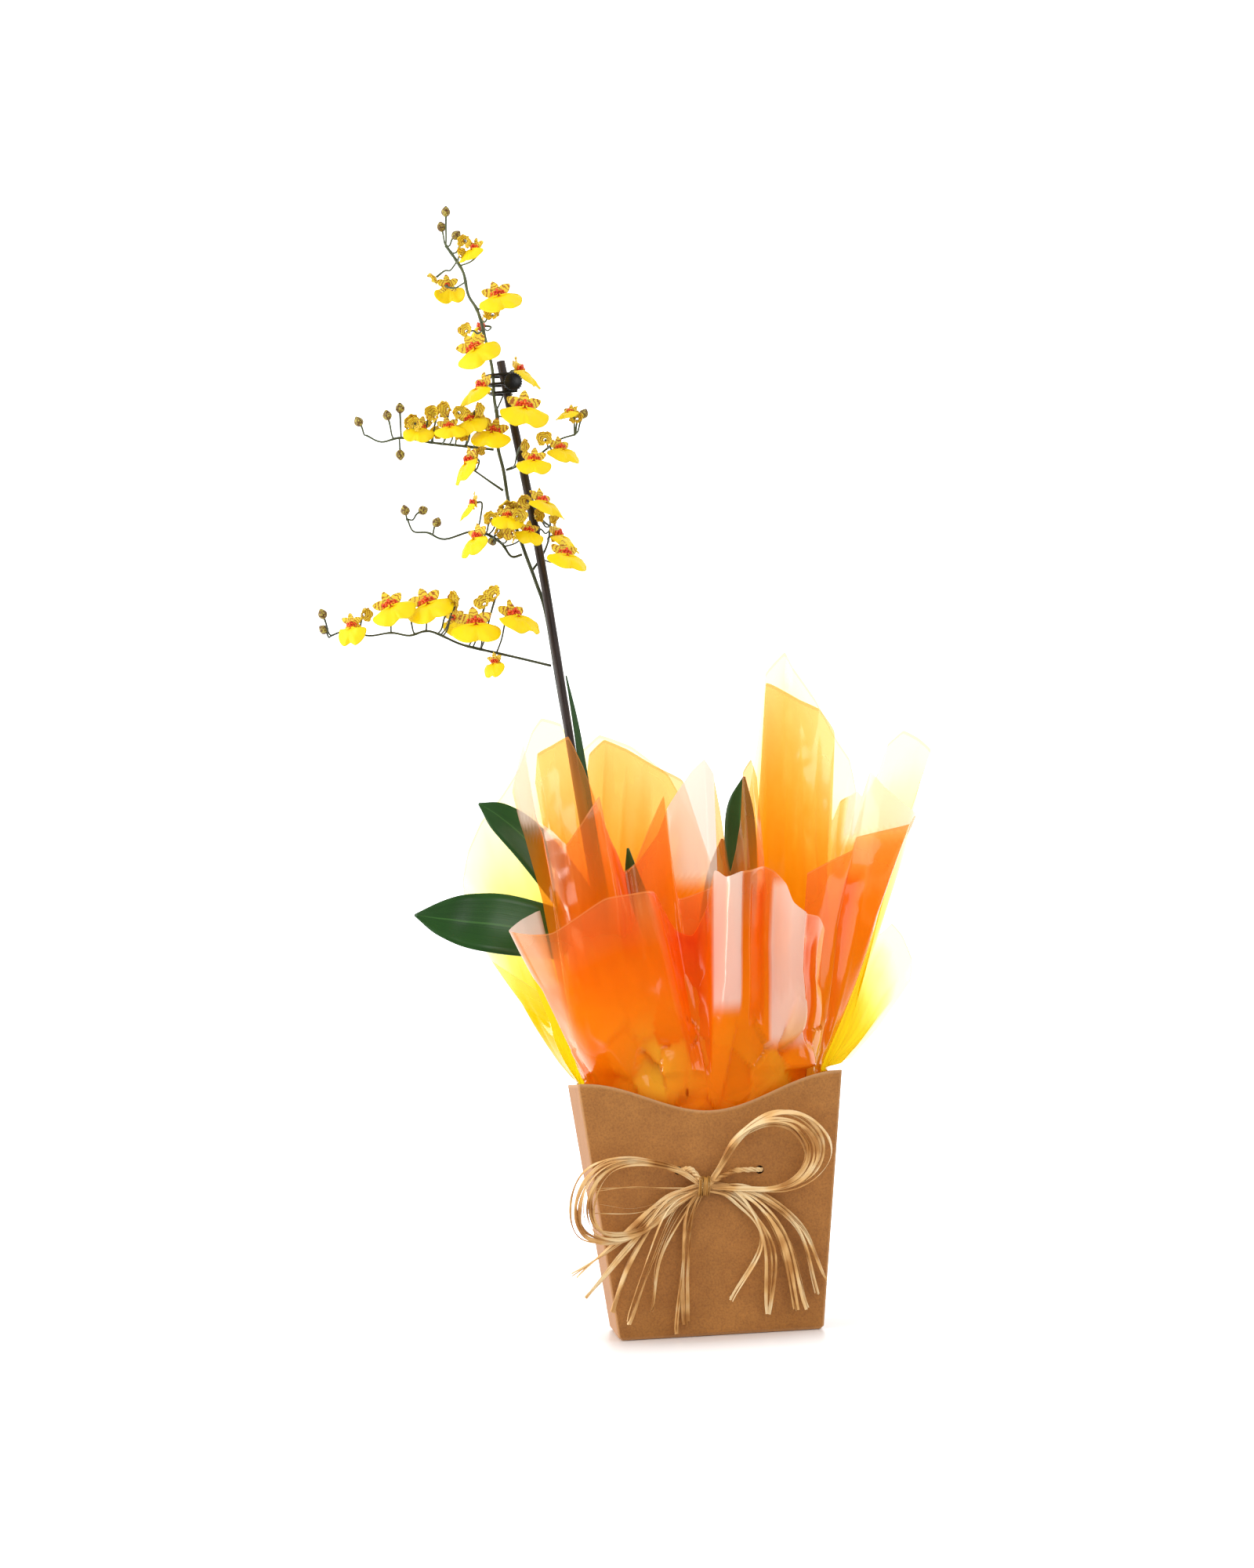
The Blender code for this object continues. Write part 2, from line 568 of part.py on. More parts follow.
def make_bud(place, lean):
    shape = bmesh.new()
    bmesh.ops.create_uvsphere(shape, u_segments=5, v_segments=4, radius=1)
    turn = lean.to_track_quat("Z", "Y").to_matrix().to_4x4()
    size = Matrix.Diagonal((BUD_RADIUS, BUD_RADIUS, BUD_LENGTH / 2, 1))
    bmesh.ops.transform(shape, matrix=Matrix.Translation(place) @ turn @ size, verts=shape.verts)
    return object_from_bmesh("bud", shape)


def tepal(angle, length, width):
    # A pointed blade that leaves the core at an angle from straight up
    shape = bmesh.new()
    outline = ((0, 0.12, 0.3), (0.5, 0.6, 0.6), (0.16, 1.0, -0.4), (-0.16, 1.0, -0.4),
               (-0.5, 0.6, 0.6))
    corners = [shape.verts.new((side * width, back * MM, out * length))
               for side, out, back in outline]
    shape.faces.new(corners)
    bmesh.ops.triangulate(shape, faces=shape.faces[:])
    bmesh.ops.rotate(shape, verts=shape.verts, matrix=Matrix.Rotation(math.radians(angle), 3, "Y"))
    return bake(thicken(object_from_bmesh("tepal", shape), BLADE))


def lip():
    # The broad skirt of the flower: a narrow neck, two round lobes and a notch between them,
    # spread forward as it falls
    half = ((0.06, 0.06, 0), (0.4, 0.14, 0), (0.92, 0.2, 0.8), (1.0, 0.62, 0.6), (0.55, 1.0, -0.6))
    outline = [*half, (0, 0.86, -1.6), *[(-across, down, back) for across, down, back in half[::-1]]]
    shape = bmesh.new()
    corners = [shape.verts.new((across * LIP_HALF_WIDTH, (back - 0.8) * MM - down * LIP_REACH,
                                -down * LIP_DROP)) for across, down, back in outline]
    middle = shape.verts.new((0, -2.6 * MM - 0.45 * LIP_REACH, -0.45 * LIP_DROP))
    for first, second in zip(corners, [*corners[1:], corners[0]]):
        shape.faces.new((first, second, middle))
    bmesh.ops.recalc_face_normals(shape, faces=shape.faces[:])
    return bake(thicken(object_from_bmesh("lip", shape), BLADE))


def make_bloom_mesh():
    shape = bmesh.new()
    stand = Matrix.Rotation(math.radians(90), 4, "X") @ Matrix.Rotation(math.radians(30), 4, "Z")
    bmesh.ops.create_cone(shape, segments=6, radius1=CORE_RADIUS, radius2=0.8 * CORE_RADIUS,
                          depth=CORE_DEPTH, cap_ends=True, matrix=stand)
    core = object_from_bmesh("bloom", shape)
    blades = [tepal(0, TEPAL_LENGTH * 0.9, TEPAL_WIDTH), lip()]
    for side in (-1, 1):
        blades.append(tepal(side * 62, TEPAL_LENGTH, TEPAL_WIDTH * 1.1))
        blades.append(tepal(side * 122, TEPAL_LENGTH * 0.9, TEPAL_WIDTH * 0.8))
    return merge_flat_faces(combine(core, blades))


def bloom_matrix(place, turn, nod, roll, size):
    angles = Euler((math.radians(-nod), math.radians(-roll), 0)).to_matrix().to_4x4()
    heading = Matrix.Rotation(math.radians(turn), 4, "Z")
    return Matrix.Translation(mm(place)) @ heading @ angles @ Matrix.Scale(size, 4)


def make_blooms(pattern):
    blooms = []
    for number, (_, place, turn, nod, roll, size) in enumerate(BLOOMS, 1):
        bloom = bpy.data.objects.new(f"bloom_{number:02d}", pattern.data)
        PLANT.objects.link(bloom)
        bloom.matrix_world = bloom_matrix(place, turn, nod, roll, size)
        blooms.append(finish(bloom, YELLOW, 0.5))
    bpy.data.objects.remove(pattern, do_unlink=True)
    return blooms


def off_clip(spot, route):
    # Moves a stalk's root down the stem where the clip would be in its way
    if abs(spot.z - CLIP_HEIGHT) > 9 * MM or spot.x > -89 * MM:
        return spot
    return min(route, key=lambda point: abs(point.z - CLIP_HEIGHT + 14 * MM))


def nearest(route, place):
    # The closest point of a route, kept off its two ends
    best = route[1]
    for start, end in zip(route, route[1:]):
        along = (place - start).dot(end - start) / (end - start).length_squared
        spot = start.lerp(end, min(max(along, 0.05), 0.95))
        if (spot - place).length < (best - place).length:
            best = spot
    return best


def make_spray(name, route, radius, roundness):
    # A stem with its flower stalks and buds, fused in one
    route = [mm(point) for point in route]
    stem = tube(name, route, radius, roundness, 0.65)
    pieces = []
    for owner, place, turn, nod, roll, size in BLOOMS:
        if owner != name:
            continue
        matrix = bloom_matrix(place, turn, nod, roll, size)
        end = matrix @ Vector((0, CORE_DEPTH / 2 + GAP / size, 0))
        behind = matrix @ Vector((0, CORE_DEPTH / 2 + 4 * MM, -1 * MM))
        start = off_clip(nearest(route, behind), route)
        pieces.append(tube("stalk", [start, behind, end], STALK_RADIUS))
    for owner, place in BUDS:
        if owner != name:
            continue
        place = mm(place)
        start = nearest(route, place) if owner != "spike_stem" else route[-1]
        pieces.append(tube("stalk", [start, place], STALK_RADIUS))
        pieces.append(make_bud(place, (place - start).normalized()))
    return finish(combine(stem, pieces), STEM_GREEN, 0.5)


def ring_point(angle, inset, height):
    # A point on a rounded rectangle inside the box's walls
    half_width, half_depth = box_half_sizes(min(height, BOX_HEIGHT))
    half_width -= CARD + inset * MM
    half_depth -= CARD + inset * MM
    side = math.sin(math.radians(angle))
    front = math.cos(math.radians(angle))
    reach = ((abs(side) / half_width) ** 4 + (abs(front) / half_depth) ** 4) ** -0.25
    return Vector((side * reach, -front * reach, height))


def make_film(name, sheet, colour):
    inset, ribs = sheet
    rows = [[ring_point(angle, inset, FILM_FOOT) for angle, _ in ribs]]
    for rise in FILM_ROWS:
        rows.append([ring_point(angle, inset, FILM_LEDGE).lerp(mm(top), rise) for angle, top in ribs])
    return finish(solid_sheet(name, rows, FILM_THICKNESS), colour, 0.1)


def off_front(point):
    # From across, off the front and up in millimetres to a place before the box's front
    across, off, up = point
    height = max(up * MM, 0)
    return Vector((across * MM, -box_half_sizes(height)[1] - off * MM, up * MM))


def make_bow():
    chance = random.Random(RAFFIA_SEED)
    bpy.ops.mesh.primitive_ico_sphere_add(subdivisions=2, radius=1, location=off_front(KNOT))
    knot = bpy.context.object
    knot.name = "raffia_bow"
    knot.data.transform(Matrix.Diagonal((3.6 * MM, 3.6 * MM, 5.2 * MM, 1)))
    strands = []
    for loop in (LOOP_LEFT, LOOP_RIGHT):
        for shift in (-1, 1):
            grow = 1 + 0.04 * shift
            points = [off_front((KNOT[0] + (across - KNOT[0]) * grow, off + 1.4 * shift,
                                 KNOT[2] + (up - KNOT[2]) * grow))
                      for across, off, up in loop]
            strands.append(tube("strand", points, RAFFIA_RADIUS))
    for tails in (TAILS_LEFT, TAILS_RIGHT):
        for tail in tails:
            points = [off_front((KNOT[0], KNOT[1] - 1, KNOT[2] + chance.uniform(-1.5, 1.5)))]
            points += [off_front(point) for point in tail]
            strands.append(tube("strand", points, RAFFIA_RADIUS))
    for across, height in LACE_HOLES:
        inner = Vector((across, -box_half_sizes(height)[1] + 4 * MM, height))
        outer = Vector((across, -box_half_sizes(height)[1] - 2.5 * MM, height))
        strands.append(tube("lace", [off_front(KNOT), outer, inner], 1.3 * MM, 0))
    return finish(combine(knot, strands), (0.75, 0.52, 0.22), 0.7)


clear_scene()
PLANT = bpy.data.collections.new("potted_oncidium")
bpy.context.scene.collection.children.link(PLANT)
make_box()
make_pot()
make_bark()
for bulb_name, bulb_place in PSEUDOBULBS.items():
    make_pseudobulb(bulb_name, bulb_place)
for leaf_name, leaf_shape in LEAVES.items():
    make_leaf(leaf_name, leaf_shape)
make_sheath()
make_stake()
make_clip()
make_blooms(make_bloom_mesh())
make_spray("spike_stem", STEM_ROUTE, STEM_RADIUS, 1)
for branch_name, branch_route in BRANCH_ROUTES.items():
    make_spray(branch_name, branch_route, BRANCH_RADIUS, 0)
for film_name, film_sheet in FILMS.items():
    make_film(film_name, film_sheet, YELLOW if film_name == "film_yellow" else ORANGE)
make_bow()
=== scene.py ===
# %% [markdown]
# # A potted oncidium in film and a kraft box
# A spray of small yellow orchids leans on a dark stake. Its pot stands in a scooped card box, with
# orange and yellow see-through film gathered round it, and a raffia bow is laced through the front.
# The script loads the solid model first, so that every finer piece is made in the same place.

# %% Load the frame
import math
import random

import bmesh
import bpy
from mathutils import Euler, Matrix, Vector, noise


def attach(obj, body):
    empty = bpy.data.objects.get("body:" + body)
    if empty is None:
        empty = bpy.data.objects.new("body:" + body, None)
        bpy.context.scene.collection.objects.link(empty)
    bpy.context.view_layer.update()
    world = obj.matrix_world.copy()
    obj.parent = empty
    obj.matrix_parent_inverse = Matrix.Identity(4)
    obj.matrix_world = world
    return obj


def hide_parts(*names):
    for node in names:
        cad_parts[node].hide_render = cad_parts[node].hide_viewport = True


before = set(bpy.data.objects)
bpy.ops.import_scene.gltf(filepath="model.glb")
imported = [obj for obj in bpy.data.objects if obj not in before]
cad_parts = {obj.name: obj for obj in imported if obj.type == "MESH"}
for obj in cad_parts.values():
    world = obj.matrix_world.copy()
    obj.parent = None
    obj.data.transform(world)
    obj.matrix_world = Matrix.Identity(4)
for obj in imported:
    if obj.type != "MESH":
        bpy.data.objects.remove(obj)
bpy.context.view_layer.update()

MM = 0.001

# %% [markdown]
# The camera comes first, because everything is judged through it. A long lens stands two metres
# off, level with the box's top, and looks slightly up. It is rolled a little, so the whole
# object leans to the left in the picture although it stands upright.

# %% Camera
PICTURE_HEIGHT = 2000
FOCAL_PIXELS = 4639
CAMERA_DISTANCE = 2.0
CAMERA_TURN = math.radians(-3.2)
CAMERA_TILT = math.radians(-4.7)
CAMERA_ROLL = math.radians(3.2)
AIM = Vector((-0.031, 0, 0.299))


def make_camera():
    right = Vector((math.cos(CAMERA_TURN), math.sin(CAMERA_TURN), 0))
    ahead = Vector((-math.sin(CAMERA_TURN) * math.cos(CAMERA_TILT),
                    math.cos(CAMERA_TURN) * math.cos(CAMERA_TILT), -math.sin(CAMERA_TILT)))
    above = right.cross(ahead)
    place = Vector((0, 0, AIM.z)) - ahead * CAMERA_DISTANCE + right * AIM.x
    turn = Matrix((right, above, -ahead)).transposed() @ Matrix.Rotation(-CAMERA_ROLL, 3, "Z")
    data = bpy.data.cameras.new("camera")
    data.sensor_fit = "VERTICAL"
    data.sensor_height = 36
    data.lens = FOCAL_PIXELS * data.sensor_height / PICTURE_HEIGHT
    data.clip_end = 50
    camera = bpy.data.objects.new("camera", data)
    camera.matrix_world = Matrix.Translation(place) @ turn.to_4x4()
    bpy.context.scene.collection.objects.link(camera)
    bpy.context.scene.camera = camera
    return camera


camera = make_camera()
print("lens", round(camera.data.lens, 1), "mm")

# %% [markdown]
# Small helpers keep the later cells short. Routes and outlines are lists of points in
# millimetres, drawn as smooth curves. Grids of points become meshes with a UV map, where u runs
# across and v along, so that veins and stripes can follow the shape.

# %% Points and meshes
def mm(point):
    return Vector(point) * MM


def smooth_route(points, steps):
    # Catmull-Rom curve through the points
    points = [Vector(point) for point in points]
    ends = [2 * points[0] - points[1], *points, 2 * points[-1] - points[-2]]
    route = []
    for index in range(len(points) - 1):
        a, b, c, d = ends[index:index + 4]
        for step in range(steps):
            t = step / steps
            route.append(0.5 * (2 * b + (c - a) * t + (2 * a - 5 * b + 4 * c - d) * t ** 2
                                + (3 * b - a - 3 * c + d) * t ** 3))
    return route + [points[-1]]


def make_object(name, mesh):
    item = bpy.data.objects.new(name, mesh)
    bpy.context.scene.collection.objects.link(item)
    return item


def grid_object(name, rows):
    across = len(rows[0])
    along = len(rows)
    points = [point for row in rows for point in row]
    faces = [(r * across + c, r * across + c + 1, (r + 1) * across + c + 1, (r + 1) * across + c)
             for r in range(along - 1) for c in range(across - 1)]
    mesh = bpy.data.meshes.new(name)
    mesh.from_pydata(points, [], faces)
    layer = mesh.uv_layers.new(name="UVMap")
    for loop in mesh.loops:
        row, column = divmod(loop.vertex_index, across)
        layer.data[loop.index].uv = (column / (across - 1), row / (along - 1))
    mesh.shade_smooth()
    return make_object(name, mesh)


def bake(item):
    # The object's evaluated shape as a plain mesh, at the origin
    graph = bpy.context.evaluated_depsgraph_get()
    graph.update()
    mesh = bpy.data.meshes.new_from_object(item.evaluated_get(graph))
    mesh.transform(item.matrix_world)
    name = item.name
    bpy.data.objects.remove(item, do_unlink=True)
    result = make_object(name, mesh)
    mesh.name = name
    return result


def thicken(item, thickness, offset=0.0):
    modifier = item.modifiers.new("thickness", "SOLIDIFY")
    modifier.thickness = thickness
    modifier.offset = offset
    return bake(item)


def join(name, items):
    shape = bmesh.new()
    materials = []
    for item in items:
        start = len(shape.faces)
        shape.from_mesh(item.data)
        shape.faces.ensure_lookup_table()
        slots = []
        for material in item.data.materials:
            if material not in materials:
                materials.append(material)
            slots.append(materials.index(material))
        for face in shape.faces[start:]:
            face.material_index = slots[face.material_index] if slots else 0
    mesh = bpy.data.meshes.new(name)
    shape.to_mesh(mesh)
    shape.free()
    for material in materials:
        mesh.materials.append(material)
    for item in items:
        bpy.data.objects.remove(item, do_unlink=True)
    return make_object(name, mesh)


def close_seams(item, gap):
    # Joins the points that meet at seams and poles, and turns every face outwards
    shape = bmesh.new()
    shape.from_mesh(item.data)
    bmesh.ops.remove_doubles(shape, verts=shape.verts, dist=gap)
    bmesh.ops.recalc_face_normals(shape, faces=shape.faces[:])
    shape.to_mesh(item.data)
    shape.free()
    return item


def settle(piece, slot, *nodes):
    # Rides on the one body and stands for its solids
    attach(piece, "root")
    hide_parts(*nodes)
    print(piece.name, len(piece.data.polygons), "faces")
    return piece


print("helpers ready, one millimetre is", MM)


# %% [markdown]
# A finish is a tree of shader nodes. One helper adds a node, sets its values and links its inputs
# in a single call, so a material reads from top to bottom like a recipe.

# %% Shader helpers
def add(tree, kind, inputs=None, **settings):
    node = tree.nodes.new(kind)
    for key, value in settings.items():
        setattr(node, key, value)
    for key, value in (inputs or {}).items():
        if isinstance(value, bpy.types.NodeSocket):
            tree.links.new(value, node.inputs[key])
        else:
            node.inputs[key].default_value = value
    return node


def colour_ramp(tree, factor, stops):
    node = add(tree, "ShaderNodeValToRGB", {"Fac": factor})
    elements = node.color_ramp.elements
    while len(elements) < len(stops):
        elements.new(0.5)
    for element, (place, colour) in zip(elements, stops):
        element.position = place
        element.color = (*colour, 1.0) if len(colour) == 3 else colour
    return node.outputs["Color"]


def blend_colours(tree, factor, first, second, mode="MIX"):
    node = add(tree, "ShaderNodeMix", data_type="RGBA", blend_type=mode)
    for socket, value in zip((node.inputs[0], node.inputs[6], node.inputs[7]), (factor, first, second)):
        if isinstance(value, bpy.types.NodeSocket):
            tree.links.new(value, socket)
        else:
            socket.default_value = value if not isinstance(value, tuple) else (*value, 1.0)
    return node.outputs[2]


def maths(tree, operation, first, second=0.0):
    node = add(tree, "ShaderNodeMath", operation=operation)
    for socket, value in zip(node.inputs, (first, second)):
        if isinstance(value, bpy.types.NodeSocket):
            tree.links.new(value, socket)
        else:
            socket.default_value = value
    return node.outputs[0]


def blank_finish(name):
    material = bpy.data.materials.new(name)
    material.use_nodes = True
    tree = material.node_tree
    return material, tree, tree.nodes["Principled BSDF"]


def set_values(tree, shader, values):
    for key, value in values.items():
        if isinstance(value, bpy.types.NodeSocket):
            tree.links.new(value, shader.inputs[key])
        else:
            shader.inputs[key].default_value = value


def object_coordinates(tree):
    return add(tree, "ShaderNodeTexCoord").outputs["Object"]


def cloud(tree, vector, scale, detail=4.0, roughness=0.55):
    return add(tree, "ShaderNodeTexNoise", {"Vector": vector, "Scale": scale, "Detail": detail,
                                            "Roughness": roughness}).outputs["Fac"]


def bump(tree, height, strength, distance):
    return add(tree, "ShaderNodeBump", {"Height": height, "Strength": strength,
                                        "Distance": distance}).outputs["Normal"]


def stored(tree, name):
    # A value that the mesh carries at each of its points
    return add(tree, "ShaderNodeAttribute", attribute_name=name).outputs["Fac"]


def stretched(tree, value, low, high, to_low=0.0, to_high=1.0):
    # The part of a value between low and high, laid over a new range
    return add(tree, "ShaderNodeMapRange", {"Value": value, "From Min": low, "From Max": high,
                                            "To Min": to_low, "To Max": to_high}).outputs[0]


def tell(*finishes):
    for finish in finishes:
        print("finish", finish.name, "with", len(finish.node_tree.nodes), "nodes")
    return finishes[0]


def refinish(node, finish):
    # Gives a solid that stays in sight a finish of its own
    solid = bpy.data.objects[node]
    solid.data.materials.clear()
    solid.data.materials.append(finish)
    print(node, "takes the finish", finish.name)


def glow_through(tree, shader, colour, share):
    # Thin petals and leaves also pass light through from behind
    passing = add(tree, "ShaderNodeBsdfTranslucent", {"Color": colour})
    mixed = add(tree, "ShaderNodeMixShader", {"Fac": share})
    tree.links.new(shader.outputs[0], mixed.inputs[1])
    tree.links.new(passing.outputs[0], mixed.inputs[2])
    tree.links.new(mixed.outputs[0], tree.nodes["Material Output"].inputs["Surface"])


# %% [markdown]
# Two shader groups hold effects that several finishes share: a soft mottle for grown and pressed
# surfaces, and fine lengthwise fibres for whatever has a grain. They give values and normals only,
# and each material decides what to do with them.

# %% Shared shader groups
def mottle_group():
    tree = bpy.data.node_groups.new("Mottle", "ShaderNodeTree")
    tree.interface.new_socket("Scale", in_out="INPUT", socket_type="NodeSocketFloat")
    tree.interface.new_socket("Relief", in_out="INPUT", socket_type="NodeSocketFloat")
    tree.interface.new_socket("Patches", in_out="OUTPUT", socket_type="NodeSocketFloat")
    tree.interface.new_socket("Specks", in_out="OUTPUT", socket_type="NodeSocketFloat")
    tree.interface.new_socket("Normal", in_out="OUTPUT", socket_type="NodeSocketVector")
    given = add(tree, "NodeGroupInput")
    place = object_coordinates(tree)
    patches = cloud(tree, place, given.outputs["Scale"], 3.0)
    finer = maths(tree, "MULTIPLY", given.outputs["Scale"], 14.0)
    specks = cloud(tree, place, finer, 2.0)
    relief = add(tree, "ShaderNodeBump", {"Height": specks, "Strength": given.outputs["Relief"],
                                          "Distance": 0.0004})
    result = add(tree, "NodeGroupOutput")
    tree.links.new(patches, result.inputs["Patches"])
    tree.links.new(specks, result.inputs["Specks"])
    tree.links.new(relief.outputs["Normal"], result.inputs["Normal"])
    return tree


def fibre_group():
    tree = bpy.data.node_groups.new("Fibres", "ShaderNodeTree")
    tree.interface.new_socket("Across", in_out="INPUT", socket_type="NodeSocketFloat")
    tree.interface.new_socket("Along", in_out="INPUT", socket_type="NodeSocketFloat")
    tree.interface.new_socket("Count", in_out="INPUT", socket_type="NodeSocketFloat")
    tree.interface.new_socket("Lines", in_out="OUTPUT", socket_type="NodeSocketFloat")
    tree.interface.new_socket("Normal", in_out="OUTPUT", socket_type="NodeSocketVector")
    given = add(tree, "NodeGroupInput")
    across = maths(tree, "MULTIPLY", given.outputs["Across"], given.outputs["Count"])
    place = add(tree, "ShaderNodeCombineXYZ", {"X": across, "Y": given.outputs["Along"]})
    lines = cloud(tree, place.outputs[0], 1.0, 3.0)
    relief = add(tree, "ShaderNodeBump", {"Height": lines, "Strength": 0.35, "Distance": 0.0003})
    result = add(tree, "NodeGroupOutput")
    tree.links.new(lines, result.inputs["Lines"])
    tree.links.new(relief.outputs["Normal"], result.inputs["Normal"])
    return tree


MOTTLE = mottle_group()
FIBRES = fibre_group()
print("shader groups", MOTTLE.name, "and", FIBRES.name)


def use_group(tree, group, inputs):
    node = tree.nodes.new("ShaderNodeGroup")
    node.node_tree = group
    set_values(tree, node, inputs)
    return node.outputs


def mottle(tree, scale, relief):
    return use_group(tree, MOTTLE, {"Scale": scale, "Relief": relief})


def uv_parts(tree):
    place = add(tree, "ShaderNodeUVMap", uv_map="UVMap")
    return add(tree, "ShaderNodeSeparateXYZ", {"Vector": place.outputs["UV"]}).outputs


def swept_parts(tree):
    # How far along and round a swept strand a point lies
    return stored(tree, "along"), stored(tree, "around")


# %% [markdown]
# Stems, stake, claws and raffia are all a small profile swept along a path, which is what
# Geometry Nodes do well. The tree takes the path's own radius and tilt at every point, so that a
# stem can swell at its joints and a flat fibre can twist. It also stores how far along and round
# each point lies, for the finishes.

# %% Sweep tree
def socket_in(tree, name, kind):
    return tree.interface.new_socket(name, in_out="INPUT", socket_type=kind)


def sweep_tree():
    tree = bpy.data.node_groups.new("Sweep a strand", "GeometryNodeTree")
    socket_in(tree, "Path", "NodeSocketGeometry")
    socket_in(tree, "Sides", "NodeSocketInt")
    socket_in(tree, "Half width", "NodeSocketFloat")
    socket_in(tree, "Flatness", "NodeSocketFloat")
    socket_in(tree, "Finish", "NodeSocketMaterial")
    tree.interface.new_socket("Strand", in_out="OUTPUT", socket_type="NodeSocketGeometry")
    given = add(tree, "NodeGroupInput").outputs
    measure = add(tree, "GeometryNodeSplineParameter").outputs
    path = add(tree, "GeometryNodeStoreNamedAttribute",
               {"Geometry": given["Path"], "Name": "along", "Value": measure["Length"]},
               data_type="FLOAT", domain="POINT")
    ring = add(tree, "GeometryNodeCurvePrimitiveCircle",
               {"Resolution": given["Sides"], "Radius": given["Half width"]})
    marked = add(tree, "GeometryNodeStoreNamedAttribute",
                 {"Geometry": ring.outputs["Curve"], "Name": "around", "Value": measure["Factor"]},
                 data_type="FLOAT", domain="POINT")
    shape = add(tree, "ShaderNodeCombineXYZ", {"X": 1.0, "Y": given["Flatness"], "Z": 1.0})
    profile = add(tree, "GeometryNodeTransform",
                  {"Geometry": marked.outputs[0], "Scale": shape.outputs[0]})
    width = add(tree, "GeometryNodeInputRadius").outputs[0]
    tube = add(tree, "GeometryNodeCurveToMesh",
               {"Curve": path.outputs[0], "Profile Curve": profile.outputs[0], "Scale": width,
                "Fill Caps": True})
    soft = add(tree, "GeometryNodeSetShadeSmooth", {"Geometry": tube.outputs[0]})
    real = add(tree, "GeometryNodeRealizeInstances", {"Geometry": soft.outputs[0]})
    done = add(tree, "GeometryNodeSetMaterial",
               {"Geometry": real.outputs[0], "Material": given["Finish"]})
    result = add(tree, "NodeGroupOutput")
    tree.links.new(done.outputs[0], result.inputs[0])
    return tree


SWEEP = sweep_tree()
print(SWEEP.name, "has", len(SWEEP.nodes), "nodes")


def give_inputs(modifier, values):
    for item in modifier.node_group.interface.items_tree:
        if item.item_type == "SOCKET" and item.in_out == "INPUT" and item.name in values:
            modifier[item.identifier] = values[item.name]


def sweep(name, strands, half_width, finish, sides=10, flatness=1.0):
    # Each strand is a list of points, with a width factor and a tilt for each
    curve = bpy.data.curves.new(name, "CURVE")
    curve.dimensions = "3D"
    curve.twist_mode = "MINIMUM"
    for points, widths, tilts in strands:
        spline = curve.splines.new("POLY")
        spline.points.add(len(points) - 1)
        for spot, point, width, tilt in zip(spline.points, points, widths, tilts):
            spot.co = (*point, 1.0)
            spot.radius = width
            spot.tilt = tilt
    item = make_object(name, curve)
    modifier = item.modifiers.new("sweep", "NODES")
    modifier.node_group = SWEEP
    give_inputs(modifier, {"Sides": sides, "Half width": half_width, "Flatness": flatness,
                           "Finish": finish})
    return bake(item)


def plain_strand(points, start=1.0, end=1.0):
    count = len(points)
    widths = [start + (end - start) * index / (count - 1) for index in range(count)]
    return points, widths, [0.0] * count


# %% [markdown]
# Blooms, buds, bark chips and the clip's ridges repeat one of a few patterns. The second tree
# places a pattern from a collection on each point of a mesh. The point's own attributes say which
# pattern it takes, how it is turned and how large it is.

# %% Placing tree
def placing_tree():
    tree = bpy.data.node_groups.new("Place patterns", "GeometryNodeTree")
    socket_in(tree, "Points", "NodeSocketGeometry")
    socket_in(tree, "Patterns", "NodeSocketCollection")
    socket_in(tree, "Finish", "NodeSocketMaterial")
    tree.interface.new_socket("Placed", in_out="OUTPUT", socket_type="NodeSocketGeometry")
    given = add(tree, "NodeGroupInput").outputs
    patterns = add(tree, "GeometryNodeCollectionInfo",
                   {"Collection": given["Patterns"], "Separate Children": True,
                    "Reset Children": True})
    kind = add(tree, "GeometryNodeInputNamedAttribute", {"Name": "kind"}, data_type="INT")
    turn = add(tree, "GeometryNodeInputNamedAttribute", {"Name": "turn"}, data_type="FLOAT_VECTOR")
    size = add(tree, "GeometryNodeInputNamedAttribute", {"Name": "size"}, data_type="FLOAT_VECTOR")
    rotation = add(tree, "FunctionNodeEulerToRotation", {"Euler": turn.outputs[0]})
    placed = add(tree, "GeometryNodeInstanceOnPoints",
                 {"Points": given["Points"], "Instance": patterns.outputs[0],
                  "Pick Instance": True, "Instance Index": kind.outputs[0],
                  "Rotation": rotation.outputs[0], "Scale": size.outputs[0]})
    real = add(tree, "GeometryNodeRealizeInstances", {"Geometry": placed.outputs[0]})
    done = add(tree, "GeometryNodeSetMaterial",
               {"Geometry": real.outputs[0], "Material": given["Finish"]})
    result = add(tree, "NodeGroupOutput")
    tree.links.new(done.outputs[0], result.inputs[0])
    return tree


PLACING = placing_tree()
print(PLACING.name, "has", len(PLACING.nodes), "nodes")


def pattern_collection(name, items):
    # The patterns wait outside the scene, in the order of their names
    group = bpy.data.collections.new(name)
    for number, item in enumerate(items):
        item.name = f"{name}_{number}"
        for owner in list(item.users_collection):
            owner.objects.unlink(item)
        group.objects.link(item)
    return group


def place_patterns(name, group, spots, finish):
    # Each spot is a kind, a place, a turn as an Euler and a size
    mesh = bpy.data.meshes.new(name)
    mesh.from_pydata([spot[1] for spot in spots], [], [])
    kinds = mesh.attributes.new("kind", "INT", "POINT")
    turns = mesh.attributes.new("turn", "FLOAT_VECTOR", "POINT")
    sizes = mesh.attributes.new("size", "FLOAT_VECTOR", "POINT")
    for index, (kind, _, turn, size) in enumerate(spots):
        kinds.data[index].value = kind
        turns.data[index].vector = turn
        sizes.data[index].vector = size
    item = make_object(name, mesh)
    modifier = item.modifiers.new("placing", "NODES")
    modifier.node_group = PLACING
    give_inputs(modifier, {"Patterns": group, "Finish": finish})
    return bake(item)
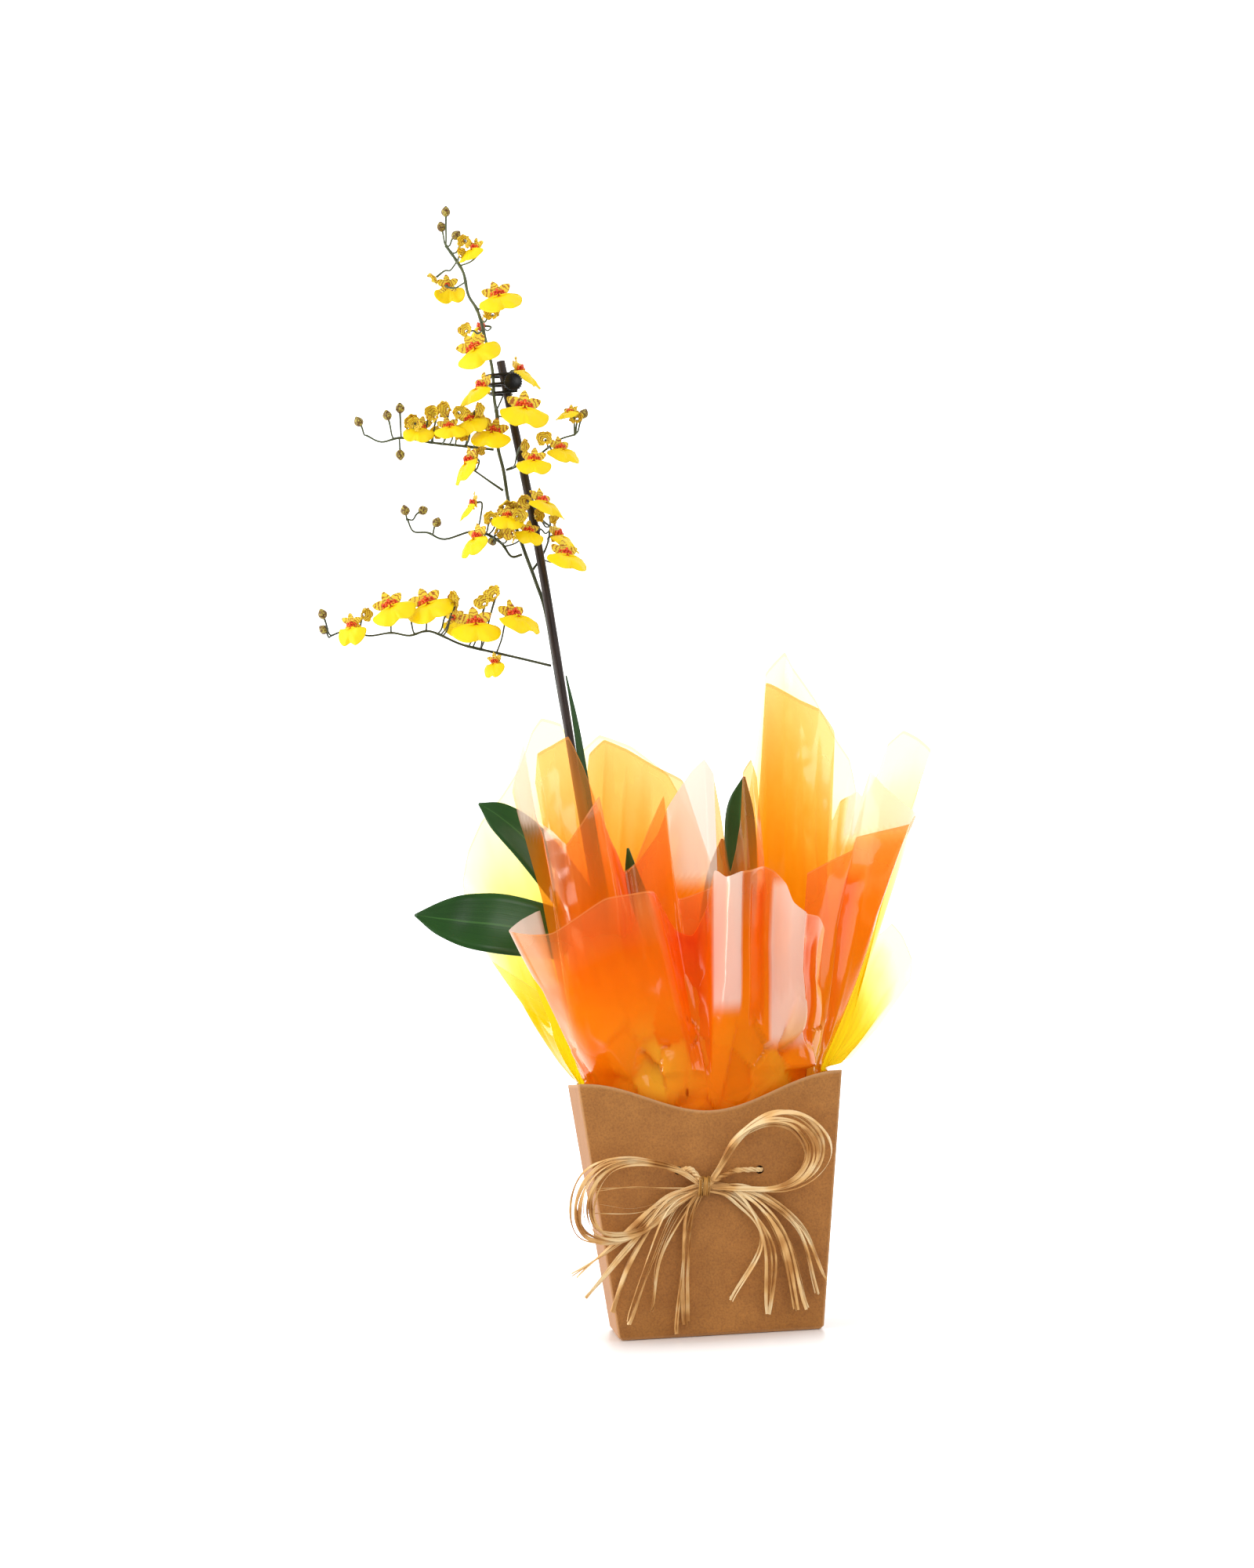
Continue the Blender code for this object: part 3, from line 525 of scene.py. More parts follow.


# %% [markdown]
# ## The card box
# Kraft card is brown, matt and slightly uneven, with pale and dark fibres pressed into it. Folds
# are a little paler, a painted highlight, and the rim and foot are paler too. The finish uses soft
# patches for the brown, fine specks for fibres and a shallow relief.

# %% Kraft finish
def kraft_finish():
    material, tree, shader = blank_finish("kraft card")
    spots = mottle(tree, 70.0, 0.2)
    base = colour_ramp(tree, spots["Patches"], [(0.25, (0.330, 0.122, 0.018)),
                                                (0.75, (0.405, 0.162, 0.029))])
    fibres = colour_ramp(tree, spots["Specks"], [(0.32, (0.72, 0.70, 0.66)), (0.5, (1, 1, 1)),
                                                 (0.70, (1.22, 1.22, 1.2))])
    colour = blend_colours(tree, 0.6, base, blend_colours(tree, 1.0, base, fibres, "MULTIPLY"))
    # Painted highlight on the fold lines, and a paler rim and foot
    colour = blend_colours(tree, stored(tree, "worn"), colour, (0.62, 0.36, 0.17))
    set_values(tree, shader, {"Base Color": colour, "Roughness": 0.66, "Normal": spots["Normal"]})
    return material


KRAFT = tell(kraft_finish())

# %% [markdown]
# The box is one folded sheet: four tapered walls with rounded fold lines, a flat bottom, and a
# scoop cut in the front and back edges. Its wall is lofted from rounded rectangles, which keeps
# the folds soft, and the scoop is a cosine that starts level at the corners.

# %% Box shape
BOX_BOTTOM = (109 * MM, 100 * MM)
BOX_TOP = (140 * MM, 146 * MM)
BOX_HEIGHT = 136 * MM
SCOOP_DEPTH = 17.5 * MM
CARD = 1.0 * MM
FOLD_RADIUS = 1.3 * MM
LACE_HOLES = ((-19 * MM, 88 * MM), (24 * MM, 86 * MM))
LACE_HOLE_RADIUS = 2.2 * MM
WALL_STEPS = 40
WALL_RISES = (0, 0.012, 0.2, 0.4, 0.6, 0.8, 0.985, 1)
BOTTOM_TUCK = 0.975
FOLD_STEPS = 4
# Paleness of the fold lines as a painted highlight, and of the rim and foot
FOLD_HIGHLIGHT = 0.35
RIM_PALENESS = 0.55
FOOT_PALENESS = 0.3
SHARP_FOLD = math.radians(35)


def box_half_sizes(height):
    rise = height / BOX_HEIGHT
    return [(low + (high - low) * rise) / 2 for low, high in zip(BOX_BOTTOM, BOX_TOP)]


def wall_point(wall, across, height):
    half_width, half_depth = box_half_sizes(height)
    half, reach = (half_width, half_depth) if wall % 2 == 0 else (half_depth, half_width)
    side = across * (half - FOLD_RADIUS)
    return Matrix.Rotation(math.radians(90 * wall), 3, "Z") @ Vector((side, -reach, height))


def fold_point(wall, share, height):
    # A point on the round fold at the right-hand end of a wall
    half_width, half_depth = box_half_sizes(height)
    half, reach = (half_width, half_depth) if wall % 2 == 0 else (half_depth, half_width)
    angle = math.radians(90 * share)
    centre = Vector((half - FOLD_RADIUS, -reach + FOLD_RADIUS, height))
    arc = Vector((math.sin(angle), -math.cos(angle), 0)) * FOLD_RADIUS
    return Matrix.Rotation(math.radians(90 * wall), 3, "Z") @ (centre + arc)


def crest(wall, across):
    if wall % 2:
        return BOX_HEIGHT
    return BOX_HEIGHT - SCOOP_DEPTH * (1 + math.cos(math.pi * across)) / 2


def cut_lace_hole(box, across, height):
    bpy.ops.mesh.primitive_cylinder_add(
        vertices=32, radius=LACE_HOLE_RADIUS, depth=12 * MM, rotation=(math.pi / 2, 0, 0),
        location=(across, -box_half_sizes(height)[1], height))
    cutter = bpy.context.object
    cut = box.modifiers.new("hole", "BOOLEAN")
    cut.object = cutter
    cut.operation = "DIFFERENCE"
    box = bake(box)
    bpy.data.objects.remove(cutter, do_unlink=True)
    return box


def make_box():
    columns = []
    for wall in range(4):
        for step in range(WALL_STEPS + 1):
            across = -1 + 2 * step / WALL_STEPS
            columns.append((lambda up, w=wall, a=across: wall_point(w, a, up),
                            crest(wall, across), 0.0))
        for step in range(1, FOLD_STEPS):
            columns.append((lambda up, w=wall, s=step / FOLD_STEPS: fold_point(w, s, up),
                            BOX_HEIGHT, FOLD_HIGHLIGHT))
    rows = [[column(top * rise) for column, top, _ in columns] for rise in WALL_RISES]
    rows[0] = [Vector((point.x * BOTTOM_TUCK, point.y * BOTTOM_TUCK, 0)) for point in rows[0]]
    shape = bmesh.new()
    worn = shape.verts.layers.float.new("worn")
    rings = [[shape.verts.new(point) for point in row] for row in rows]
    for ring, rise in zip(rings, WALL_RISES):
        for corner, (_, _, paleness) in zip(ring, columns):
            corner[worn] = max(paleness, RIM_PALENESS if rise == 1 else 0, FOOT_PALENESS if rise == 0 else 0)
    for lower, upper in zip(rings, rings[1:]):
        for index in range(len(lower)):
            after = (index + 1) % len(lower)
            shape.faces.new((lower[index], lower[after], upper[after], upper[index]))
    shape.faces.new(rings[0][::-1])
    mesh = bpy.data.meshes.new("kraft_box")
    shape.to_mesh(mesh)
    shape.free()
    box = thicken(make_object("kraft_box", mesh), CARD, -1.0)
    for across, height in LACE_HOLES:
        box = cut_lace_hole(box, across, height)
    box.data.materials.clear()
    box.data.materials.append(KRAFT)
    box.data.shade_smooth()
    box.data.set_sharp_from_angle(angle=SHARP_FOLD)
    return box


settle(make_box(), "kraft_card", "card_box")

# %% [markdown]
# ## The film
# The film is stiff and clear, dyed orange or yellow. One layer looks pale, several look deep, and
# where it leans it mirrors the white room. Glass shaders would need thickness and many bounces, so
# the finish mixes three simple parts instead: a tinted see-through one, a cloudy one that glows
# with light from behind, and a thin gloss that grows towards the rim of each curve.

# %% Film finish
STREAKS = 9.0
STREAK_STRENGTH = 0.5
TINT_PLACES = (0.22, 0.55, 0.92)
FADE_START = 0.80
FADE_SHARE = 0.4
CREASE_SCALE = 42.0
LIGHT_FROM_BEHIND = 0.55
HAZE_LOW = 0.86
HAZE_HIGH = 0.28
GLARE_HAZE = 0.78
MOST_HAZE = 0.9
# A thin cloudy band along the cut edge, as a painted highlight
CUT_EDGE = 0.994
CUT_EDGE_HIGHLIGHT = 0.2
GLOSS_COLOUR = (1.0, 0.93, 0.84, 1.0)
GLOSS_ROUGHNESS = 0.12
GLOSS_BASE = 0.03
GLOSS_RIM = 0.6
# Painted glare colour: the white room's reflection on leaning panels, laid into the film's tint and haze
GLARE_COLOUR = (1.0, 0.86, 0.76)
# Painted shade colour for pleat valleys and crumple creases
FOLD_SHADE_COLOUR = (1.0, 0.24, 0.002)
# Painted highlight colour for crumpled facets catching the light
FACET_GLINT_COLOUR = (1.0, 0.66, 0.04)


def film_relief(tree, place, along):
    # Broad waves everywhere, and fine creases where the film is squeezed
    creases = add(tree, "ShaderNodeTexVoronoi", {"Vector": place, "Scale": CREASE_SCALE},
                  feature="DISTANCE_TO_EDGE").outputs["Distance"]
    low = stretched(tree, along, 0.2, 0.5, 1.0, 0.04)
    folded = maths(tree, "MULTIPLY", maths(tree, "MINIMUM", creases, 0.2), low)
    waves = maths(tree, "MULTIPLY", cloud(tree, place, 24.0, 2.0), 0.9)
    return bump(tree, maths(tree, "ADD", waves, folded), 0.6, 0.006)


def film_haze(tree, depth, along, pale):
    # How much of the film is cloudy and not clear, with a painted highlight along the cut edge and painted
    # glare on the panels
    haze = stretched(tree, depth, 0.58, 0.95, HAZE_LOW, HAZE_HIGH)
    cut = maths(tree, "MULTIPLY", maths(tree, "GREATER_THAN", along, CUT_EDGE), CUT_EDGE_HIGHLIGHT)
    panel = maths(tree, "MULTIPLY", pale, GLARE_HAZE)
    haze = maths(tree, "MAXIMUM", maths(tree, "ADD", haze, cut), panel)
    return maths(tree, "MINIMUM", haze, MOST_HAZE)


def film_finish(name, tints, body):
    # Tints run from the squeezed foot, where the film is deepest, to its pale cut edge
    material, tree, shader = blank_finish(name)
    tree.nodes.remove(shader)
    across, along, _ = uv_parts(tree)
    streaks = use_group(tree, FIBRES, {"Across": across, "Along": maths(tree, "MULTIPLY", along, 1.5),
                                       "Count": STREAKS})
    drift = maths(tree, "MULTIPLY", maths(tree, "SUBTRACT", streaks["Lines"], 0.5), STREAK_STRENGTH)
    depth = maths(tree, "ADD", along, drift)
    pale, deep, gold = [stored(tree, mark) for mark in ("pale", "deep", "gold")]
    tint = colour_ramp(tree, depth, list(zip(TINT_PLACES, tints)))
    # Painted glare lightens the tint on the glare panels, and painted shade darkens it in pleats and
    # creases
    tint = blend_colours(tree, deep, blend_colours(tree, pale, tint, GLARE_COLOUR), FOLD_SHADE_COLOUR)
    faded = blend_colours(tree, stretched(tree, along, FADE_START, 1.0, 0.0, FADE_SHARE), body, tints[2])
    # The haze colour takes painted glare, a painted highlight on crumpled facets, and painted shade in
    # pleats and creases
    milky = blend_colours(tree, gold, blend_colours(tree, pale, faded, GLARE_COLOUR), FACET_GLINT_COLOUR)
    milky = blend_colours(tree, deep, milky, FOLD_SHADE_COLOUR)
    relief = film_relief(tree, object_coordinates(tree), along)
    clear = add(tree, "ShaderNodeBsdfTransparent", {"Color": tint})
    through = add(tree, "ShaderNodeBsdfTranslucent", {"Color": milky, "Normal": relief})
    back = add(tree, "ShaderNodeBsdfDiffuse", {"Color": milky, "Normal": relief})
    cloudy = add(tree, "ShaderNodeMixShader", {"Fac": LIGHT_FROM_BEHIND, 1: back.outputs[0],
                                               2: through.outputs[0]})
    inner = add(tree, "ShaderNodeMixShader", {"Fac": film_haze(tree, depth, along, pale),
                                              1: clear.outputs[0], 2: cloudy.outputs[0]})
    gloss = add(tree, "ShaderNodeBsdfGlossy", {"Color": GLOSS_COLOUR, "Roughness": GLOSS_ROUGHNESS,
                                               "Normal": relief})
    facing = add(tree, "ShaderNodeLayerWeight", {"Blend": 0.5, "Normal": relief}).outputs["Facing"]
    share = maths(tree, "MULTIPLY", maths(tree, "POWER", facing, 3.0), GLOSS_RIM)
    share = maths(tree, "ADD", share, GLOSS_BASE)
    outer = add(tree, "ShaderNodeMixShader", {"Fac": share, 1: inner.outputs[0], 2: gloss.outputs[0]})
    tree.links.new(outer.outputs[0], tree.nodes["Material Output"].inputs["Surface"])
    return tell(material)


ORANGE_FILM = film_finish("orange film", ((1.0, 0.36, 0.01), (1.0, 0.44, 0.04), (1.0, 0.57, 0.27)),
                          (1.0, 0.31, 0.002))
YELLOW_FILM = film_finish("yellow film", ((1.0, 0.88, 0.01), (1.0, 0.96, 0.08), (1.0, 0.99, 0.60)),
                          (1.0, 0.80, 0.0))

# %% [markdown]
# Each sheet is gathered at the pot, so that its straight edges and corners stand up as points. A
# sheet is built from ribs. Each rib is given by the angle at which it leaves the box and by the
# point of the cut edge that it runs to. The first number of a sheet says how far inside the card
# it lies, so the sheets nest in each other. Ranges of angle and height then mark where a folded
# layer stands out with a painted glare and where a pleat sinks with painted shade.

# %% Ribs of the sheets
# Ranges of angle and height where a panel stands out and carries painted glare
GLARE_PANELS = {
    "film_orange_front": ((1.5, 12, 172, 250), (23, 37, 152, 238), (-62, -55, 190, 235)),
    "film_orange_middle": ((-9, 7, 240, 320),),
    "film_orange_left": ((-66, -50, 275, 340),),
    "film_orange_right": ((64, 92, 262, 320),),
}
# Ranges of angle and height where a pleat sinks and carries painted shade
SHADED_PLEATS = {
    "film_orange_front": ((-7, 1, 140, 240), (16, 21, 165, 235), (38, 42, 150, 205)),
    "film_orange_left": ((-27, -18, 200, 262),),
    "film_orange_right": ((49, 53, 150, 240),),
}
FILMS = {
    "film_orange_front": (3.2, (
        (-62, (-83, -40, 230)), (-59, (-93, -47, 225)), (-56, (-100, -56, 219)), (-47, (-90, -72, 216)),
        (-38, (-79, -82, 216)), (-29, (-65, -88, 224)), (-20, (-51, -90, 232)), (-12, (-37, -86, 234)),
        (-6, (-25, -78, 235)), (-4, (-19, -66, 225)), (-2.5, (-13, -60, 215)), (-1, (-4, -62, 212)),
        (0.5, (4, -66, 226)), (2, (8, -76, 244)), (6, (13, -90, 240)), (11, (20, -96, 242)),
        (16, (27, -92, 243)), (20, (34, -82, 245)), (24, (40, -80, 242)), (28, (44, -86, 235)),
        (32, (47, -90, 225)), (37, (54, -88, 219)), (42, (62, -78, 217)), (46, (66, -66, 210)),
        (48, (65, -60, 204)),
    )),
    "film_orange_left": (4.8, (
        (-66, (-94, -28, 295)), (-64, (-86, -30, 321)), (-60, (-84, -32, 301)), (-56, (-81, -36, 279)),
        (-48, (-74, -44, 271)), (-40, (-68, -50, 264)), (-34, (-58, -50, 277)), (-29, (-49, -48, 289)),
        (-25, (-46, -48, 272)), (-20, (-39, -48, 248)), (-16, (-32, -46, 252)), (-12, (-24, -44, 269)),
        (-8, (-14, -41, 288)), (-5, (-13, -45, 268)), (-1, (-10, -53, 232)), (4, (5, -55, 236)),
        (8, (11, -54, 238)),
    )),
    "film_orange_middle": (6.4, (
        (-62, (-82, -20, 300)), (-58, (-80, -21, 316)), (-53, (-72, -24, 320)), (-47, (-63, -27, 324)),
        (-41, (-56, -31, 307)), (-35, (-51, -34, 290)), (-29, (-44, -36, 267)), (-23, (-38, -36, 249)),
        (-17, (-30, -35, 253)), (-12, (-18, -33, 268)), (-9, (-12, -32, 281)), (-5, (-6, -33, 290)),
        (-1, (2, -34, 301)), (3, (9, -35, 307)), (7, (14, -34, 298)), (10, (17, -31, 278)),
        (13, (19, -28, 259)), (16, (21, -24, 246)), (19, (25, -20, 258)), (22, (29, -16, 275)),
        (25, (32, -13, 301)), (28, (37, -11, 308)), (31, (40, -8, 298)),
    )),
    "film_orange_right": (4.8, (
        (34, (62, -32, 243)), (40, (75, -33, 249)), (46, (87, -33, 254)), (50, (90, -32, 261)),
        (55, (105, -30, 264)), (60, (120, -26, 267)), (65, (124, -16, 273)), (72, (109, -6, 289)),
        (78, (102, 0, 299)), (84, (97, 4, 286)), (89, (95, 8, 289)), (94, (87, 10, 284)),
        (98, (82, 12, 274)), (103, (87, 16, 323)), (112, (80, 22, 337)), (124, (70, 26, 343)),
        (136, (61, 28, 349)), (146, (51, 24, 353)), (152, (45, 18, 307)), (156, (41, 12, 279)),
        (160, (39, 8, 257)),
    )),
    "film_orange_back": (6.4, (
        (-112, (-52, 34, 303)), (-121, (-49, 40, 320)), (-130, (-40, 44, 328)), (-141, (-27, 46, 322)),
        (-152, (-12, 47, 312)), (-164, (3, 46, 303)), (-176, (12, 42, 269)), (172, (18, 36, 246)),
    )),
    "film_yellow": (1.6, (
        (-74, (-87, -18, 188)), (-77.5, (-99, -13, 197)), (-80.5, (-111, -9, 206)), (-83, (-122, -4, 229)),
        (-87, (-124, 0, 250)), (-91, (-120, 4, 267)), (-97, (-112, 9, 283)), (-104, (-100, 16, 297)),
        (-112, (-89, 24, 313)), (-119, (-81, 30, 333)), (-125, (-75, 34, 341)), (-133, (-64, 42, 338)),
        (-141, (-56, 50, 321)), (-149, (-42, 56, 332)), (-157, (-24, 60, 325)), (-165, (-4, 62, 308)),
        (-173, (9, 62, 280)), (179, (20, 60, 245)), (172, (31, 60, 246)), (166, (40, 58, 290)),
        (160, (48, 56, 326)), (154, (54, 52, 362)), (147, (65, 48, 373)), (140, (69, 46, 364)),
        (133, (80, 42, 345)), (126, (90, 36, 321)), (119, (96, 30, 309)), (112, (98, 24, 290)),
        (107, (93, 16, 264)), (103, (101, 12, 285)), (99, (109, 8, 299)), (96, (115, 6, 314)),
        (93, (124, 4, 321)), (90, (132, 2, 316)), (87, (138, 0, 309)), (84, (131, -2, 293)),
        (81, (118, -5, 250)), (79, (102, -8, 209)), (77, (109, -11, 214)), (74, (114, -14, 207)),
        (71, (118, -17, 194)), (68, (116, -19, 182)), (64, (97, -28, 159)), (60, (79, -40, 142)),
    )),
}
print(len(FILMS), "sheets with", sum(len(ribs) for _, ribs in FILMS.values()), "ribs")

# %% [markdown]
# A smooth curve through the ribs gives the sheet its columns, with a slow turn round the pot and a
# fast one along the cut edge, whose corners have to stay. Noise folds the columns gently. At the
# box's mouth the film is crumpled into flat facets: a Voronoi pattern gives each facet a centre,
# and each centre a tilt of its own. The tilts have no fixed seed, so they differ from run to run.

# %% Rib and facet helpers
RIB_STEPS = 8
RING_POWER = 4
FACETS_PER_METRE = 40
FACET_STRETCH = (1.5, 0.8)
FACET_TILT = 1.3
CRUMPLED = (-26, 46)
CRUMPLE_WIDTH = 17 * MM
CRUMPLE_HEIGHT = 142 * MM
CRUMPLE_SPREAD = 22 * MM
PANEL_BLUR = (1.0, 10)


def ring_point(angle, inset, height):
    # A point on a rounded rectangle inside the box's walls
    half_width, half_depth = box_half_sizes(min(height, BOX_HEIGHT))
    half_width -= CARD + inset * MM
    half_depth -= CARD + inset * MM
    side = math.sin(math.radians(angle))
    front = math.cos(math.radians(angle))
    reach = (abs(side) / half_width) ** RING_POWER + (abs(front) / half_depth) ** RING_POWER
    reach = reach ** (-1 / RING_POWER)
    return Vector((side * reach, -front * reach, height))


def rib_curve(points, tension):
    # Passes through every rib's tip, and turns faster there the lower the tension is
    ends = [points[0], *points, points[-1]]
    curve = []
    for index in range(len(points) - 1):
        a, b, c, d = ends[index:index + 4]
        for step in range(RIB_STEPS):
            t = step / RIB_STEPS
            curve.append(b * (2 * t ** 3 - 3 * t ** 2 + 1) + (c - a) * tension * (t ** 3 - 2 * t ** 2 + t)
                         + c * (3 * t ** 2 - 2 * t ** 3) + (d - b) * tension * (t ** 3 - t ** 2))
    return curve + [points[-1]]


def rib_angles(ribs):
    # The ribs' angles without a jump where they pass half a turn
    angles = [ribs[0][0]]
    for angle, _ in ribs[1:]:
        angles.append(angles[-1] + (angle - angles[-1] + 180) % 360 - 180)
    return [point.x for point in rib_curve([Vector((angle, 0, 0)) for angle in angles], 0.4)]


def crumple(point):
    # Flat facets, each tilted its own way, strongest just above the box's rim
    wide, tall = FACET_STRETCH
    near, centres = noise.voronoi(Vector((point.x * wide, point.y, point.z * tall)) * FACETS_PER_METRE)
    home = Vector((centres[0].x / wide, centres[0].y, centres[0].z / tall)) / FACETS_PER_METRE
    from_crease = near[1] - near[0]
    tilt = noise.noise_vector(home * 900)
    low = math.exp(-((point.z - CRUMPLE_HEIGHT) / CRUMPLE_SPREAD) ** 2)
    spots = [math.exp(-((point.x - across * MM) / CRUMPLE_WIDTH) ** 2)
             for across in CRUMPLED if point.y < 0]
    squeezed = low * (0.15 + 0.85 * min(sum(spots), 1))
    lift = (tilt.dot(point - home) * FACET_TILT / MM + from_crease * 4 - 1) * squeezed
    # Painted shade along the creases between facets
    crease_shade = max(1 - from_crease * 9, 0) * 0.4
    # Each facet's painted highlight, at a random strength
    glint_strength = noise.noise(home * 700) * 1.6 + 0.55
    return lift, squeezed, crease_shade, min(max(glint_strength, 0), 1)


def inside(value, low, high, blur):
    # One within a range, nought outside it, with a soft step at both ends
    rise = min(max((value - low) / blur + 0.5, 0), 1)
    fall = min(max((high - value) / blur + 0.5, 0), 1)
    return rise * rise * (3 - 2 * rise) * fall * fall * (3 - 2 * fall)


def marked(patches, angle, height):
    across, along = PANEL_BLUR
    return max((inside(angle, start, end, across) * inside(height / MM, foot, top, along)
                for start, end, foot, top in patches), default=0.0)


# %% Film shape
FILM_FOOT = 98 * MM
FILM_LEDGE = 138 * MM
FILM_ROWS = 66
ROW_SPACING = 1.3
LEDGE_SHARE = 0.16
LEDGE_ROOM = 0.3
SOFT_EDGE = 0.32
SHARP_EDGE = 0.12
FOLD_SEED = 9.6
FOLD_LIFT = 2.4
RIPPLE_LIFT = 3.0
BELLY_LIFT = 3.0
PANEL_STEP = 1.6
PLEAT_DEPTH = 2.0
INNER_CRUMPLE = 0.2


def film_point(name, inset, angle, top, share):
    # A place on the sheet, and how much painted glare, painted fold shade and painted facet highlight the
    # film carries there
    ledge = ring_point(angle, inset, FILM_LEDGE)
    if share < LEDGE_SHARE:
        point = ring_point(angle, inset, FILM_FOOT).lerp(ledge, share / LEDGE_SHARE)
        rise = 0.0
    else:
        rise = (share - LEDGE_SHARE) / (1 - LEDGE_SHARE)
        point = ledge.lerp(top, rise)
    outward = Vector((point.x, point.y, 0)).normalized()
    fold = noise.noise((angle * 0.10, rise * 0.4, FOLD_SEED))
    ripple = noise.noise((angle * 0.05, rise * 1.6, inset * 5 + 9))
    lift = fold * FOLD_LIFT * (1 - rise) + ripple * RIPPLE_LIFT * math.sin(math.pi * rise)
    lift += math.sin(math.pi * min(rise * 1.6, 1)) * BELLY_LIFT
    facet, squeezed, crease_shade, glint_strength = crumple(point)
    pale = marked(GLARE_PANELS.get(name, ()), angle, point.z)
    deep = marked(SHADED_PLEATS.get(name, ()), angle, point.z)
    lift += facet * (1.0 if name == "film_orange_front" else INNER_CRUMPLE)
    lift += PANEL_STEP * pale - PLEAT_DEPTH * deep
    if share < LEDGE_SHARE:
        lift = min(lift, LEDGE_ROOM)
    if name == "film_yellow":
        return point + outward * lift * MM, (pale, 0.0, 0.0)
    return point + outward * lift * MM, (pale, max(deep * 0.8, squeezed * crease_shade), squeezed * glint_strength)


def make_film(name, sheet, finish):
    inset, ribs = sheet
    tops = rib_curve([mm(top) for _, top in ribs],
                     SOFT_EDGE if name == "film_orange_front" else SHARP_EDGE)
    columns = list(zip(rib_angles(ribs), tops))
    rows = []
    marks = []
    for index in range(FILM_ROWS + 1):
        share = (index / FILM_ROWS) ** ROW_SPACING
        spots = [film_point(name, inset, angle, top, share) for angle, top in columns]
        rows.append([point for point, _ in spots])
        marks += [mark for _, mark in spots]
    film = grid_object(name.replace("film", "sheet"), rows)
    for key, values in zip(("pale", "deep", "gold"), zip(*marks)):
        film.data.attributes.new(key, "FLOAT", "POINT").data.foreach_set("value", values)
    film.data.materials.append(finish)
    return film


for film_name, film_sheet in FILMS.items():
    sheet = make_film(film_name, film_sheet, YELLOW_FILM if film_name == "film_yellow" else ORANGE_FILM)
    settle(sheet, "yellow_film" if film_name == "film_yellow" else "orange_film", film_name)

# %% [markdown]
# ## Leaves, bulbs and bark
# The strap leaves are folded along a midrib and narrow to a point. Each is a grid whose rows
# follow a spine, with a slight lift at both edges. Fine veins run lengthwise in the finish.

# %% Leaf finish
def leaf_finish():
    material, tree, shader = blank_finish("leaf")
    across, along, _ = uv_parts(tree)
    veins = use_group(tree, FIBRES, {"Across": across, "Along": along, "Count": 46.0})
    place = object_coordinates(tree)
    patches = cloud(tree, place, 22.0, 3.0)
    green = colour_ramp(tree, patches, [(0.3, (0.006, 0.040, 0.004)), (0.7, (0.016, 0.082, 0.008))])
    striped = blend_colours(tree, maths(tree, "MULTIPLY", veins["Lines"], 0.5), green, (0.035, 0.14, 0.014))
    rib = maths(tree, "ABSOLUTE", maths(tree, "SUBTRACT", across, 0.5))
    rib = maths(tree, "LESS_THAN", rib, 0.018)
    colour = blend_colours(tree, maths(tree, "MULTIPLY", rib, 0.5), striped, (0.06, 0.19, 0.03))
    set_values(tree, shader, {"Base Color": colour, "Roughness": 0.38, "Normal": veins["Normal"],
                              "Coat Weight": 0.15, "Coat Roughness": 0.2})
    glow_through(tree, shader, (0.06, 0.26, 0.01, 1.0), 0.10)
    return material


LEAF = tell(leaf_finish())

# %% Leaves
LEAVES = {
    "leaf_big_left": (
        ((-13, -10, 165), (-38, -16, 196), (-68, -19, 214), (-95, -22, 222), (-118, -24, 226),
         (-136, -24, 229), (-151, -22, 232)),
        (4, 8, 13, 16.5, 16, 10.5, 0.6), (0.15, -1, 0.25),
    ),
    "leaf_upper_left": (
        ((-19, -2, 165), (-44, -8, 205), (-66, -9, 240), (-86, -8, 268), (-102, -6, 284),
         (-113, -4, 292)),
        (4, 8, 11, 11, 8, 0.6), (0.1, -1, 0.1),
    ),
    "leaf_right": (
        ((18, 2, 165), (24, 4, 195), (28, 6, 230), (30, 6, 262), (31, 5, 284), (34, 4, 300)),
        (4, 7, 9, 9, 7, 0.6), (-0.2, -1, 0.1),
    ),
    "leaf_short": (
        ((-2, -8, 164), (-14, -16, 195), (-26, -22, 225), (-32, -24, 246), (-34, -25, 262)),
        (3.5, 5, 5.5, 4, 0.6), (-0.3, -1, 0),
    ),
    "leaf_back": (
        ((4, 14, 164), (10, 22, 195), (16, 28, 225), (20, 30, 250), (22, 29, 268)),
        (4, 8, 9, 7, 0.6), (0.2, 1, 0.1),
    ),
    "stem_sheath": (
        ((-43, 5, 215), (-50, 6, 262), (-54, 6, 300), (-57, 5.5, 332), (-61, 5.5, 361)),
        (2.4, 2.8, 2.6, 1.8, 0.3), (0.5, -1, 0),
    ),
}
LEAF_LIFT = 0.16
LEAF_THICKNESS = 0.7 * MM


def make_leaf(name, spine, half_widths, face):
    face = Vector(face).normalized()
    centre = smooth_route([mm(point) for point in spine], 8)
    halves = [point.x * MM for point in smooth_route([(half, 0, 0) for half in half_widths], 8)]
    rows = []
    for index, (point, half) in enumerate(zip(centre, halves)):
        ahead = centre[min(index + 1, len(centre) - 1)] - centre[max(index - 1, 0)]
        side = ahead.cross(face).normalized()
        lift = side.cross(ahead).normalized()
        row = []
        for column in range(9):
            across = -1 + column / 4
            rise = LEAF_LIFT * abs(across) ** 1.4 + 0.02 * math.sin(index * 0.7 + across)
            row.append(point + side * half * across + lift * half * rise)
        rows.append(row)
    leaf = grid_object(name, rows)
    leaf = thicken(leaf, LEAF_THICKNESS)
    leaf.data.materials.append(LEAF)
    return leaf


for leaf_name, (spine, half_widths, face) in LEAVES.items():
    settle(make_leaf("green_" + leaf_name, spine, half_widths, face), "leaf_green", leaf_name)

# %% [markdown]
# The leaves grow from flattened pseudobulbs that sit on the bark. Their ridges come from a small
# wave round each ring of points, and the bark is loose chips scattered over a lumpy filling.

